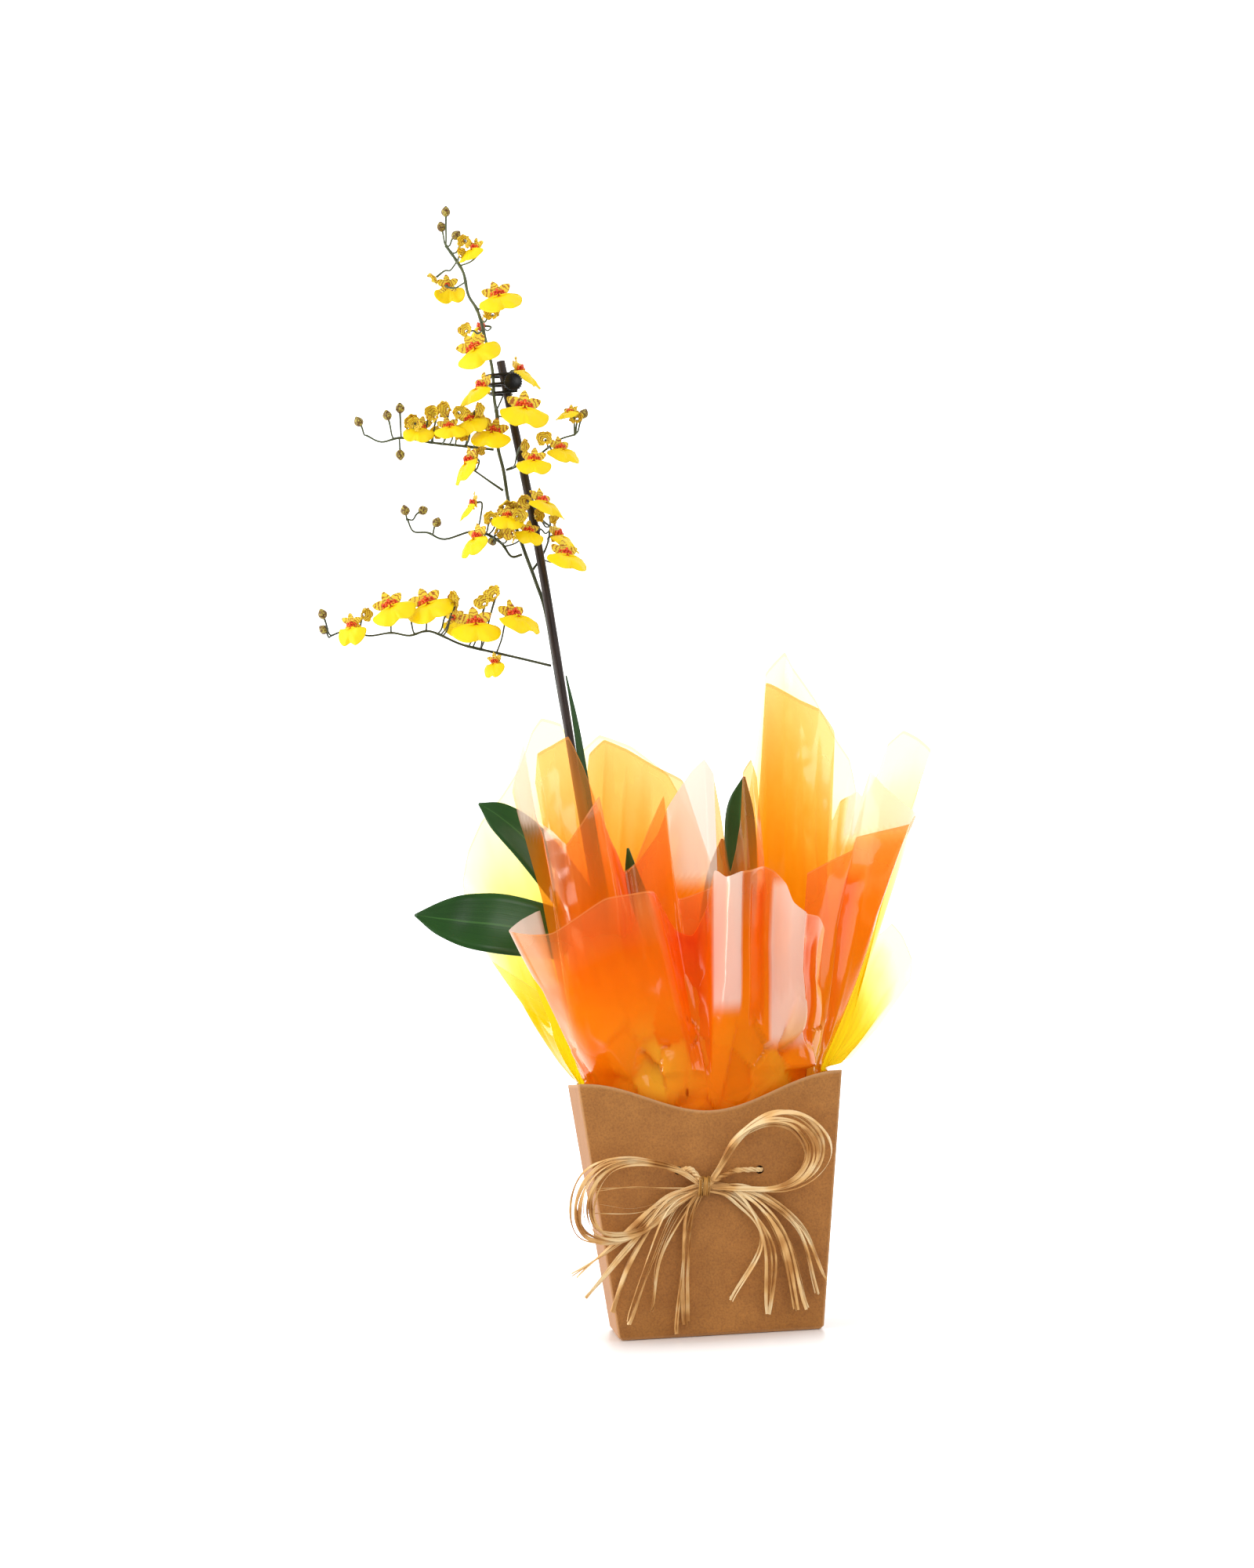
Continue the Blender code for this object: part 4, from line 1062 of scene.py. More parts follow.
# %% Bulb finish and shape
def bulb_finish():
    material, tree, shader = blank_finish("pseudobulb")
    spots = mottle(tree, 60.0, 0.2)
    colour = colour_ramp(tree, spots["Patches"], [(0.3, (0.09, 0.16, 0.03)), (0.7, (0.20, 0.27, 0.07))])
    set_values(tree, shader, {"Base Color": colour, "Roughness": 0.42, "Normal": spots["Normal"]})
    return material


BULB = tell(bulb_finish())
BULBS = {"pseudobulb_left": (-14, -3, -9), "pseudobulb_right": (12, 2, 8), "pseudobulb_back": (4, 22, 3)}
BULB_FOOT = 110.5 * MM
BULB_MIDDLE = 137
BULB_HALF_SIZES = (9.4 * MM, 5.9 * MM, 25 * MM)
BULB_TAPER = 0.35
BULB_RIDGES = 7
RIDGE_DEPTH = 0.035


def make_bulb(name, place):
    across, back, lean = place
    half_width, half_depth, half_height = BULB_HALF_SIZES
    rows = []
    for ring in range(25):
        angle = math.pi * ring / 24
        up = -math.cos(angle)
        row = []
        for step in range(33):
            turn = 2 * math.pi * step / 32
            ridges = 1 + RIDGE_DEPTH * math.cos(BULB_RIDGES * turn)
            taper = (1 - BULB_TAPER * max(up, 0)) * math.sin(angle) * ridges
            height = half_height * up
            point = Vector((half_width * taper * math.cos(turn) + math.radians(lean) * height,
                            half_depth * taper * math.sin(turn), height))
            point += mm((across, back, BULB_MIDDLE))
            point.z = max(point.z, BULB_FOOT)
            row.append(point)
        rows.append(row)
    bulb = close_seams(grid_object(name, rows), 0.02 * MM)
    bulb.data.materials.append(BULB)
    return bulb


for bulb_name, bulb_place in BULBS.items():
    settle(make_bulb("green_" + bulb_name, bulb_place), "pseudobulb_green", bulb_name)

# %% [markdown]
# Potting bark is chips of dark brown, rough and matt, no two alike. A few chips are drawn as lumpy
# blocks, and many are strewn over the solid filling. They keep clear of the bulbs, stem and stake.

# %% Bark finish and chips
def bark_finish():
    material, tree, shader = blank_finish("bark")
    spots = mottle(tree, 140.0, 0.8)
    colour = colour_ramp(tree, spots["Patches"], [(0.3, (0.05, 0.022, 0.011)), (0.7, (0.20, 0.10, 0.05))])
    set_values(tree, shader, {"Base Color": colour, "Roughness": 0.9, "Normal": spots["Normal"]})
    return material


BARK = tell(bark_finish())
BARK_TOP = 108 * MM
BARK_RADIUS = 49 * MM
CHIP_COUNT = 260
CHIP_KINDS = 4
CHIP_SIZES = (9 * MM, 5 * MM, 2.4 * MM)
CHIP_LUMPS = 0.6
KEPT_CLEAR = ((-14, -3, 12), (12, 2, 12), (4, 22, 12), (-36, 4, 8), (-32, 15, 8))


def bark_chip(seed):
    chance = random.Random(seed)
    shape = bmesh.new()
    bmesh.ops.create_cube(shape, size=1)
    bmesh.ops.subdivide_edges(shape, edges=shape.edges[:], cuts=1, use_grid_fill=True)
    for corner in shape.verts:
        corner.co *= Vector(CHIP_SIZES)
        corner.co += Vector([chance.uniform(-CHIP_LUMPS, CHIP_LUMPS) * MM for _ in range(3)])
    mesh = bpy.data.meshes.new("chip")
    shape.to_mesh(mesh)
    shape.free()
    return make_object("chip", mesh)


def clear_of_plants(place):
    return all((Vector(place[:2]) - Vector((across, back)) * MM).length > reach * MM
               for across, back, reach in KEPT_CLEAR)


def make_bark():
    chance = random.Random(11)
    chips = pattern_collection("chip", [bark_chip(seed) for seed in range(CHIP_KINDS)])
    spots = []
    while len(spots) < CHIP_COUNT:
        angle = chance.uniform(0, 2 * math.pi)
        reach = (BARK_RADIUS - 5 * MM) * math.sqrt(chance.random())
        place = (reach * math.cos(angle), reach * math.sin(angle), BARK_TOP + chance.uniform(-1, 2) * MM)
        if clear_of_plants(place):
            turn = (chance.uniform(-0.4, 0.4), chance.uniform(-0.4, 0.4), chance.uniform(0, 6.28))
            size = chance.uniform(0.6, 1.1)
            spots.append((chance.randrange(CHIP_KINDS), place, turn, (size, size, size)))
    return place_patterns("bark_chips", chips, spots, BARK)


bark = make_bark()
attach(bark, "root")
print(bark.name, "holds", CHIP_COUNT, "chips")
refinish("bark_mix", BARK)

# %% [markdown]
# The nursery pot hardly shows. It is thin black plastic with a soft sheen and faint moulding marks,
# so its solid stays and only gets that finish.

# %% Pot finish
def pot_finish():
    material, tree, shader = blank_finish("nursery pot")
    spots = mottle(tree, 180.0, 0.15)
    colour = colour_ramp(tree, spots["Patches"], [(0.3, (0.012, 0.012, 0.013)),
                                                  (0.8, (0.03, 0.03, 0.032))])
    set_values(tree, shader, {"Base Color": colour, "Roughness": 0.45, "Normal": spots["Normal"]})
    return material


refinish("nursery_pot", tell(pot_finish()))

# %% [markdown]
# ## Stake, stem and branches
# The stake is a dark stained stick. The flower stem beside it is thin, smooth and grey-green, with
# a slight swelling where each branch or flower stalk leaves it.

# %% Stake finish and shape
def stake_finish():
    material, tree, shader = blank_finish("stained stake")
    along, around = swept_parts(tree)
    grain = use_group(tree, FIBRES, {"Across": around, "Along": maths(tree, "MULTIPLY", along, 60.0),
                                     "Count": 22.0})
    colour = colour_ramp(tree, grain["Lines"], [(0.3, (0.010, 0.005, 0.004)),
                                                (0.75, (0.050, 0.026, 0.017))])
    set_values(tree, shader, {"Base Color": colour, "Roughness": 0.48, "Normal": grain["Normal"]})
    return material


STAKE = tell(stake_finish())
STAKE_RADIUS = 2.4 * MM
STAKE_ROUTE = ((-23, 5, 18), (-35, 4, 112), (-56, 1, 279), (-72, 0, 427), (-88, 0, 537))
stake_points = smooth_route([mm(point) for point in STAKE_ROUTE], 10)
stake_widths = [1 + 0.05 * noise.noise((index * 0.5, 0, 0)) for index in range(len(stake_points))]
stake = sweep("stained_stake", [(stake_points, stake_widths, [0] * len(stake_points))],
              STAKE_RADIUS, STAKE, 20)
settle(stake, "stake_wood", "stake")

# %% [markdown]
# The stem is dark where it is old and turns olive towards its young tip, so two mottled ramps are
# blended by height.

# %% Stem finish
YOUNG_FROM = 0.30
YOUNG_ABOVE = 0.58


def stem_finish():
    material, tree, shader = blank_finish("flower stem")
    spots = mottle(tree, 90.0, 0.15)
    height = add(tree, "ShaderNodeSeparateXYZ", {"Vector": object_coordinates(tree)}).outputs["Z"]
    rise = stretched(tree, height, YOUNG_FROM, YOUNG_ABOVE)
    young = colour_ramp(tree, spots["Patches"], [(0.3, (0.055, 0.075, 0.03)), (0.7, (0.13, 0.15, 0.06))])
    old = colour_ramp(tree, spots["Patches"], [(0.3, (0.018, 0.024, 0.012)), (0.7, (0.05, 0.058, 0.03))])
    set_values(tree, shader, {"Base Color": blend_colours(tree, rise, old, young), "Roughness": 0.45,
                              "Normal": spots["Normal"]})
    return material


STEM = tell(stem_finish())

# %% [markdown]
# A spray is a stem, its flower stalks and its buds. A stalk leaves the stem at the nearest place,
# swings behind its flower and swells a little where it meets it. All routes, blooms, half-open
# flowers and buds are listed here by the spray they belong to, in millimetres. A bloom's line also
# gives how far it turns, nods and rolls, in degrees, and its size.

# %% Routes and places
STEM_ROUTE = (
    (-30, 15, 104), (-44, 12, 200), (-57, 9, 290), (-65, 8, 350), (-70, 7, 395), (-75, 5, 414),
    (-80, 4, 430), (-87, 3, 455), (-89.5, 3, 476), (-92, 2, 490), (-91.5, 1, 506), (-92.6, 0, 516),
    (-92.8, 0, 532), (-95, -2, 545), (-99, -4, 564), (-104, -5, 574), (-106, -6, 586), (-110, -6, 594),
    (-115, -6, 602),
)
SPRAYS = {
    "spike_stem": STEM_ROUTE,
    "branch_low_left": (
        (-69, 6.5, 367), (-88, 2, 372), (-111, -2, 378), (-120, -3, 381), (-135, -5, 388),
        (-146, -6, 386), (-156, -6, 388), (-168, -6, 387), (-181, -6, 390), (-189, -6, 388),
    ),
    "branch_mid_left": (
        (-82, 3, 429), (-88, 0, 428), (-94, -3, 436), (-107, -6, 442), (-124, -8, 438),
        (-133, -8, 442), (-141, -9, 443), (-144, -9, 450),
    ),
    "branch_right": ((-77, 8, 420), (-71, 10, 428), (-67, 10, 436), (-65, 9, 445)),
    "branch_short_left": ((-90.5, 1, 465), (-98, -3, 470), (-106, -5, 476)),
    "branch_upper_right": ((-88, 5, 477), (-80, 8, 480), (-72, 8, 483), (-65, 7, 488), (-57, 6, 493),
                           (-49, 5, 495)),
    "branch_upper_left": (
        (-94.5, 1, 488), (-112, -4, 490), (-129, -8, 492), (-145, -10, 495), (-156, -11, 493),
        (-164, -11, 497),
    ),
}
BUDS = (
    ("spike_stem", (-114, -7, 621)), ("spike_stem", (-117, -5, 613)), ("spike_stem", (-109, -9, 607)),
    ("branch_upper_left", (-168, -11, 505)), ("branch_upper_left", (-146, -7, 486)),
    ("branch_upper_left", (-152, -15, 507)), ("branch_upper_left", (-145, -13, 511)),
    ("branch_upper_left", (-138, -4, 505)),
    ("branch_upper_right", (-43, 7, 507)),
    ("branch_mid_left", (-145, -9, 455)), ("branch_mid_left", (-135, -5, 455)),
    ("branch_mid_left", (-128, -12, 447)), ("branch_mid_left", (-98, 1, 437)),
    ("branch_right", (-73, 16, 445)),
    ("branch_low_left", (-193, -8, 400)), ("branch_low_left", (-193, -4, 392)),
    ("branch_low_left", (-105, 4, 391)),
)
BLOOMS = (
    ("spike_stem", (-99, -15, 598), -50, 5, 0, 0.72),
    ("spike_stem", (-115, 4, 582), 165, 10, 0, 0.75),
    ("spike_stem", (-88, -12, 572), 5, 8, 12, 1.02),
    ("spike_stem", (-97, 8, 559), -95, 0, 0, 0.85),
    ("spike_stem", (-103, -16, 542), 5, 8, 28, 1.08),
    ("spike_stem", (-78, 10, 534), 68, 5, 0, 0.95),
    ("spike_stem", (-99, -13, 521), -60, 8, 0, 1.05),
    ("spike_stem", (-77, -18, 508), 8, 6, -8, 1.15),
    ("spike_stem", (-94, -13, 496), -18, 8, -12, 0.95),
    ("branch_upper_left", (-134, -14, 500), -15, 0, -10, 0.75),
    ("branch_upper_left", (-119, -22, 498), 12, 10, 5, 0.75),
    ("branch_upper_left", (-107, -15, 503), 0, 0, 12, 0.75),
    ("branch_upper_right", (-58, -1, 487), 35, 5, 0, 0.85),
    ("branch_upper_right", (-73, -15, 479), 0, 5, -5, 0.82),
    ("branch_upper_right", (-51, 0, 507), -40, 20, 0, 0.6),
    ("branch_short_left", (-108, -10, 481), -62, -8, 10, 0.95),
    ("branch_mid_left", (-107, -12, 457), -80, 0, 0, 0.75),
    ("branch_mid_left", (-106, -15, 438), -50, -5, 5, 0.88),
    ("branch_mid_left", (-89, -18, 448), 0, 5, -5, 0.75),
    ("branch_mid_left", (-78, -13, 440), 15, 0, -10, 0.7),
    ("branch_right", (-70, -12, 456), 45, 10, -8, 1.0),
    ("branch_right", (-62, 0, 439), 62, 5, 0, 0.95),
    ("branch_right", (-59, -14, 426), 25, 10, -8, 1.0),
    ("branch_low_left", (-156, -16, 402), 5, 10, 22, 1.05),
    ("branch_low_left", (-136, -13, 403), 5, 10, 20, 1.1),
    ("branch_low_left", (-121, 4, 396), 150, 0, 0, 0.75),
    ("branch_low_left", (-110, -17, 390), 5, 10, 0, 1.15),
    ("branch_low_left", (-89, -13, 394), 40, 10, 0, 1.1),
    ("branch_low_left", (-177, -14, 393), -30, -25, 0, 0.75),
    ("branch_low_left", (-100, -4, 370), -40, -20, 0, 0.6),
)
HALF_OPEN = (
    ("spike_stem", (-104, -12, 603)), ("spike_stem", (-108, -13, 594)), ("spike_stem", (-121, 0, 586)),
    ("spike_stem", (-91, -10, 561)), ("spike_stem", (-106, -12, 552)),
    ("branch_upper_left", (-141, -12, 503)), ("branch_upper_left", (-137, -19, 501)),
    ("branch_upper_left", (-129, -19, 506)), ("branch_upper_left", (-125, -20, 504)),
    ("branch_upper_left", (-118, -17, 508)), ("branch_upper_left", (-113, -23, 505)),
    ("branch_upper_left", (-104, -17, 507)), ("branch_upper_left", (-127, -13, 496)),
    ("branch_upper_left", (-114, -13, 494)), ("branch_upper_left", (-102, -13, 499)),
    ("branch_short_left", (-104, -10, 486)), ("branch_upper_right", (-66, -10, 490)),
    ("branch_upper_right", (-80, -12, 487)), ("branch_upper_right", (-47, 3, 503)),
    ("branch_mid_left", (-98, -16, 447)), ("branch_mid_left", (-91, -13, 454)),
    ("branch_mid_left", (-84, -20, 446)), ("branch_mid_left", (-81, -15, 453)),
    ("branch_mid_left", (-95, -11, 441)), ("branch_mid_left", (-86, -18, 438)),
    ("branch_right", (-74, -10, 448)), ("branch_right", (-77, -8, 457)), ("branch_right", (-66, -12, 447)),
    ("branch_low_left", (-146, -10, 398)), ("branch_low_left", (-124, -13, 399)),
    ("branch_low_left", (-118, -16, 404)), ("branch_low_left", (-104, -13, 400)),
    ("branch_low_left", (-98, -15, 404)), ("branch_low_left", (-171, -11, 398)),
)
STEM_RADIUS = 1.2 * MM
BRANCH_RADIUS = 0.75 * MM
STALK_RADIUS = 0.48 * MM
CORE_DEPTH = 3.8 * MM
CLIP_HEIGHT = 524 * MM
CLIP_REACH = 9 * MM
CLIP_SIDE = -89 * MM
BELOW_CLIP = 14 * MM
print(len(SPRAYS), "sprays with", len(BLOOMS), "blooms,", len(HALF_OPEN), "half-open flowers and",
      len(BUDS), "buds")


def bloom_turn(turn, nod, roll):
    angles = Euler((math.radians(-nod), math.radians(-roll), 0)).to_matrix()
    return Matrix.Rotation(math.radians(turn), 3, "Z") @ angles


def off_clip(spot, route):
    # Moves a stalk's root down the stem where the clip would be in its way
    if abs(spot.z - CLIP_HEIGHT) > CLIP_REACH or spot.x > CLIP_SIDE:
        return spot
    return min(route, key=lambda point: abs(point.z - CLIP_HEIGHT + BELOW_CLIP))


def nearest(route, place):
    best = route[1]
    for start, end in zip(route, route[1:]):
        along = (place - start).dot(end - start) / (end - start).length_squared
        spot = start.lerp(end, min(max(along, 0.05), 0.95))
        if (spot - place).length < (best - place).length:
            best = spot
    return best


# %% [markdown]
# Buds are small ribbed drops, olive and speckled with brown. A few shapes are drawn once, each with
# its own ribs, and the placing tree sets them at every bud's point.

# %% Bud finish and shape
def bud_finish():
    material, tree, shader = blank_finish("bud")
    place = object_coordinates(tree)
    fine = cloud(tree, place, 900.0, 2.0)
    speckled = colour_ramp(tree, fine, [(0.42, (0.10, 0.035, 0.006)), (0.52, (0.26, 0.17, 0.02)),
                                        (0.66, (0.50, 0.44, 0.07))])
    set_values(tree, shader, {"Base Color": speckled, "Roughness": 0.5,
                              "Normal": bump(tree, fine, 0.3, 0.0002)})
    return material


BUD = tell(bud_finish())
BUD_RADIUS = 2.6 * MM
BUD_LENGTH = 6.4 * MM
BUD_RIBS = 3
BUD_RIB_HEIGHT = 0.07
BUD_KINDS = 3


def bud_shape(seed):
    chance = random.Random(seed)
    rows = []
    for ring in range(13):
        share = ring / 12
        swell = math.sin(math.pi * share ** 0.85) ** 0.8 if 0 < ring < 12 else 0.0
        row = []
        for step in range(19):
            turn = 2 * math.pi * step / 18
            reach = BUD_RADIUS * swell * (1 + BUD_RIB_HEIGHT * math.cos(BUD_RIBS * turn + seed))
            row.append(Vector((reach * math.cos(turn), reach * math.sin(turn),
                               (share - 0.5) * BUD_LENGTH * chance.uniform(0.99, 1.01))))
        rows.append(row)
    return close_seams(grid_object("bud", rows), 0.01 * MM)


BUD_SHAPES = pattern_collection("bud", [bud_shape(seed) for seed in range(BUD_KINDS)])
print(BUD_KINDS, "shapes of bud")

# %% [markdown]
# A real spray grows as one, so the stem, its stalks and its buds become one piece. The stem narrows
# towards its tip and thickens where a stalk leaves it. The clip keeps stalks off its own place.

# %% Sprays
STEM_NARROWS = 0.35
JOINT_SWELL = 0.28
JOINT_LENGTH = 1.6 * MM
STALK_ROOT = 1.5


def stalk_strand(start, behind, end):
    points = smooth_route([start, start.lerp(behind, 0.55) + Vector((0, 0, -2.0 * MM)), behind, end], 6)
    widths = [1.0 + 0.5 * (index / (len(points) - 1)) ** 3 for index in range(len(points))]
    widths[0] = STALK_ROOT
    return points, widths, [0.0] * len(points)


def make_spray(name, coarse):
    coarse = [mm(point) for point in coarse]
    route = smooth_route(coarse, 6)
    radius = STEM_RADIUS if name == "spike_stem" else BRANCH_RADIUS
    widths = [1 - STEM_NARROWS * index / (len(route) - 1) for index in range(len(route))]
    strands = []
    roots = []
    for owner, place, turn, nod, roll, size in BLOOMS:
        if owner == name:
            matrix = bloom_turn(turn, nod, roll) * size
            end = mm(place) + matrix @ Vector((0, CORE_DEPTH / 2, 0))
            behind = mm(place) + matrix @ Vector((0, CORE_DEPTH / 2 + 4 * MM, -1 * MM))
            start = off_clip(nearest(route, behind), route)
            roots.append(start)
            strands.append(stalk_strand(start, behind, end))
    bud_spots = []
    for number, (owner, place) in enumerate(BUDS):
        if owner == name:
            place = mm(place)
            start = nearest(route, place) if owner != "spike_stem" else route[-1]
            roots.append(start)
            strands.append(stalk_strand(start, start.lerp(place, 0.6), place))
            lean = (place - start).to_track_quat("Z", "Y").to_euler()
            bud_spots.append((number % BUD_KINDS, place, lean, (1, 1, 1)))
    for owner, place in HALF_OPEN:
        if owner == name:
            start = nearest(route, mm(place))
            roots.append(start)
            strands.append(stalk_strand(start, start.lerp(mm(place), 0.6), mm(place)))
    for index, point in enumerate(route):
        close = min(((root - point).length for root in roots), default=1.0)
        widths[index] *= 1 + JOINT_SWELL * math.exp(-(close / JOINT_LENGTH) ** 2)
    stem = sweep(name + "_stem", [(route, widths, [0.0] * len(route))], radius, STEM, 12)
    stalks = sweep(name + "_stalks", strands, STALK_RADIUS, STEM, 8)
    parts = [stem, stalks]
    if bud_spots:
        parts.append(place_patterns(name + "_buds", BUD_SHAPES, bud_spots, BUD))
    return join("green_" + name, parts)


for spray_name, spray_route in SPRAYS.items():
    settle(make_spray(spray_name, spray_route), "flower_stem", spray_name)

# %% [markdown]
# ## Blooms
# Each flower has a broad yellow lip like a skirt, with two round lobes, a waved edge and a narrow
# waist. Above it sit an orange-red warty callus and a short winged column, framed by five small
# tepals barred with brown. Petals are thin, so light from behind glows through them: each finish
# keeps its colour and sends part of it through.

# %% Petal finishes
def lip_finish():
    material, tree, shader = blank_finish("lip")
    across, along, _ = uv_parts(tree)
    veins = use_group(tree, FIBRES, {"Across": across, "Along": along, "Count": 34.0})
    yellow = blend_colours(tree, maths(tree, "MULTIPLY", veins["Lines"], 0.35),
                           (1.0, 0.85, 0.0), (0.96, 0.70, 0.0))
    fleck = cloud(tree, object_coordinates(tree), 500.0, 2.0)
    reach = maths(tree, "ADD", along, maths(tree, "MULTIPLY", maths(tree, "SUBTRACT", fleck, 0.5), 0.22))
    mark = maths(tree, "LESS_THAN", reach, 0.10)
    colour = blend_colours(tree, mark, yellow, (0.42, 0.05, 0.006))
    set_values(tree, shader, {"Base Color": colour, "Roughness": 0.5, "Normal": veins["Normal"]})
    glow_through(tree, shader, (1.0, 0.80, 0.0, 1.0), 0.4)
    return material


def tepal_finish():
    material, tree, shader = blank_finish("barred tepal")
    across, along, _ = uv_parts(tree)
    place = object_coordinates(tree)
    wobble = cloud(tree, place, 380.0, 2.0)
    phase = maths(tree, "ADD", maths(tree, "MULTIPLY", along, 24.0), maths(tree, "MULTIPLY", wobble, 12.0))
    bars = maths(tree, "SINE", phase)
    mask = colour_ramp(tree, bars, [(0.45, (0, 0, 0)), (0.70, (1, 1, 1))])
    colour = blend_colours(tree, mask, (0.97, 0.80, 0.05), (0.42, 0.13, 0.012))
    set_values(tree, shader, {"Base Color": colour, "Roughness": 0.5,
                              "Normal": bump(tree, wobble, 0.2, 0.0002)})
    glow_through(tree, shader, (0.9, 0.6, 0.02, 1.0), 0.3)
    return material


def heart_finish():
    material, tree, shader = blank_finish("flower heart")
    place = object_coordinates(tree)
    fine = cloud(tree, place, 700.0, 3.0)
    colour = colour_ramp(tree, fine, [(0.36, (0.55, 0.020, 0.003)), (0.56, (0.85, 0.075, 0.004)),
                                      (0.74, (0.98, 0.40, 0.02))])
    set_values(tree, shader, {"Base Color": colour, "Roughness": 0.4,
                              "Normal": bump(tree, fine, 0.5, 0.0003)})
    return material


LIP = tell(lip_finish())
TEPAL = tell(tepal_finish())
HEART = tell(heart_finish())

# %% [markdown]
# The lip is a fan of points from its narrow waist to a drawn outline, so its waves follow the edge
# as they do on the plant. It leans forward and bulges like a skirt. Four shapes of each part are
# drawn, each with other waves, and the placing tree mixes them.

# %% Lip shape
BLOOM_KINDS = 4
PETAL_THICKNESS = 0.3 * MM
LIP_HALF_WIDTH = 11.6 * MM
LIP_DROP = 12.6 * MM
LIP_LEAN = 8.8 * MM
LIP_NECK = (0.0, 0.03)
LIP_OUTLINE = ((0.12, 0.02), (0.16, 0.20), (0.48, 0.24), (0.84, 0.24), (1.02, 0.44), (0.96, 0.72),
               (0.74, 0.94), (0.42, 1.03), (0.16, 0.95), (0.0, 0.88))


def lip_edge():
    # Half of the skirt's outline as a smooth curve, then its mirror image
    half = smooth_route([(across, down, 0) for across, down in LIP_OUTLINE], 3)
    return half + [Vector((-point.x, point.y, 0)) for point in half[-2::-1]]


def lip_shape(seed):
    chance = random.Random(seed)
    phase = chance.uniform(0, 6.28)
    edge = lip_edge()
    rows = []
    for step in range(11):
        out = step / 10
        row = []
        for column, point in enumerate(edge):
            across = LIP_NECK[0] + (point.x - LIP_NECK[0]) * out
            down = LIP_NECK[1] + (point.y - LIP_NECK[1]) * out
            round_edge = 2 * math.pi * column / (len(edge) - 1)
            wave = 0.75 * math.sin(round_edge * 4 + phase) + 0.35 * math.sin(round_edge * 9 + 2 * phase)
            belly = 0.8 + 2.4 * math.sin(math.pi * min(out, 0.9)) * (1 - 0.7 * across ** 2)
            fall = 2.6 * across ** 2 * out
            row.append(Vector((across * LIP_HALF_WIDTH,
                               (fall - belly + wave * out ** 2) * MM - down * LIP_LEAN,
                               -0.4 * MM - down * LIP_DROP + 1.2 * MM * across ** 2)))
        rows.append(row)
    return thicken(grid_object("lip", rows), PETAL_THICKNESS)


LIP_SHAPES = pattern_collection("lip", [lip_shape(seed) for seed in range(BLOOM_KINDS)])
print(BLOOM_KINDS, "lips,", round(2 * LIP_HALF_WIDTH / MM, 1), "millimetres wide at full size")

# %% [markdown]
# Five narrow tepals stand in a ring behind the lip, with curled tips and waved edges. On a flower
# that is only half open the same tepals still fold forward round the heart, like a cup.

# %% Tepal shape
CUP_KINDS = 3
CUP_SHARE = 0.66
CUP_LEAN = 48
TEPAL_LENGTH = 9.0 * MM
TEPAL_WIDTH = 4.8 * MM
TEPALS = ((0, 0.9, 1.0), (62, 1.0, 1.15), (-62, 1.0, 1.15), (122, 0.9, 0.85), (-122, 0.9, 0.85))


def tepal_rows(angle, length, width, seed):
    chance = random.Random(seed)
    phase = chance.uniform(0, 6.28)
    curl = chance.uniform(-0.3, 0.9)
    turn = Matrix.Rotation(math.radians(angle + chance.uniform(-6, 6)), 3, "Y")
    rows = []
    for step in range(13):
        out = step / 12
        half = width / 2 * max(0.10, math.sin(math.pi * min(out * 0.9 + 0.09, 1)) ** 0.7)
        row = []
        for column in range(7):
            across = -1 + column / 3
            wave = 0.5 * math.sin(out * 11 + phase + across) * abs(across) * out
            bowed = 0.3 + 0.5 * math.sin(math.pi * out) + curl * out ** 2
            back = bowed + wave - 0.5 * abs(across) * (1 - out)
            row.append(turn @ Vector((across * half, back * MM, 1.0 * MM + out * (length - 1.0 * MM))))
        rows.append(row)
    return rows


def tepal_ring(seed):
    blades = []
    for number, (angle, length, width) in enumerate(TEPALS):
        rows = tepal_rows(angle, TEPAL_LENGTH * length, TEPAL_WIDTH * width, seed * 10 + number)
        blades.append(thicken(grid_object("blade", rows), PETAL_THICKNESS))
    return join("tepals", blades)


def cup_shape(seed):
    # A half-open flower: the same barred tepals, still folded forward round the heart
    blades = []
    for number, (angle, length, width) in enumerate(TEPALS):
        rows = tepal_rows(0, TEPAL_LENGTH * CUP_SHARE * length, TEPAL_WIDTH * width,
                          seed * 10 + number + 60)
        lean = Matrix.Rotation(math.radians(angle), 3, "Y")
        lean = lean @ Matrix.Rotation(math.radians(CUP_LEAN), 3, "X")
        rows = [[lean @ point for point in row] for row in rows]
        blades.append(thicken(grid_object("blade", rows), PETAL_THICKNESS))
    return join("cup", blades)


TEPAL_SHAPES = pattern_collection("tepals", [tepal_ring(seed) for seed in range(BLOOM_KINDS)])
CUP_SHAPES = pattern_collection("cup", [cup_shape(seed) for seed in range(CUP_KINDS)])
print(BLOOM_KINDS, "rings of", len(TEPALS), "tepals and", CUP_KINDS, "cups")

# %% [markdown]
# The callus is a cushion of round warts on the lip's waist, and the column above it holds the
# flower's organs. Small spheres in three rows give the warts, and a short cone gives the core.

# %% Callus and column shape
COLUMN_LUMPS = (((0, -1.3, 0.9), 1.4), ((0, -2.6, 1.9), 0.95))
WART_ROWS = ((0.9, 3.2, 5), (-0.5, 3.7, 6), (-1.8, 2.6, 4))
CORE_RADII = (2.0 * MM, 1.4 * MM)


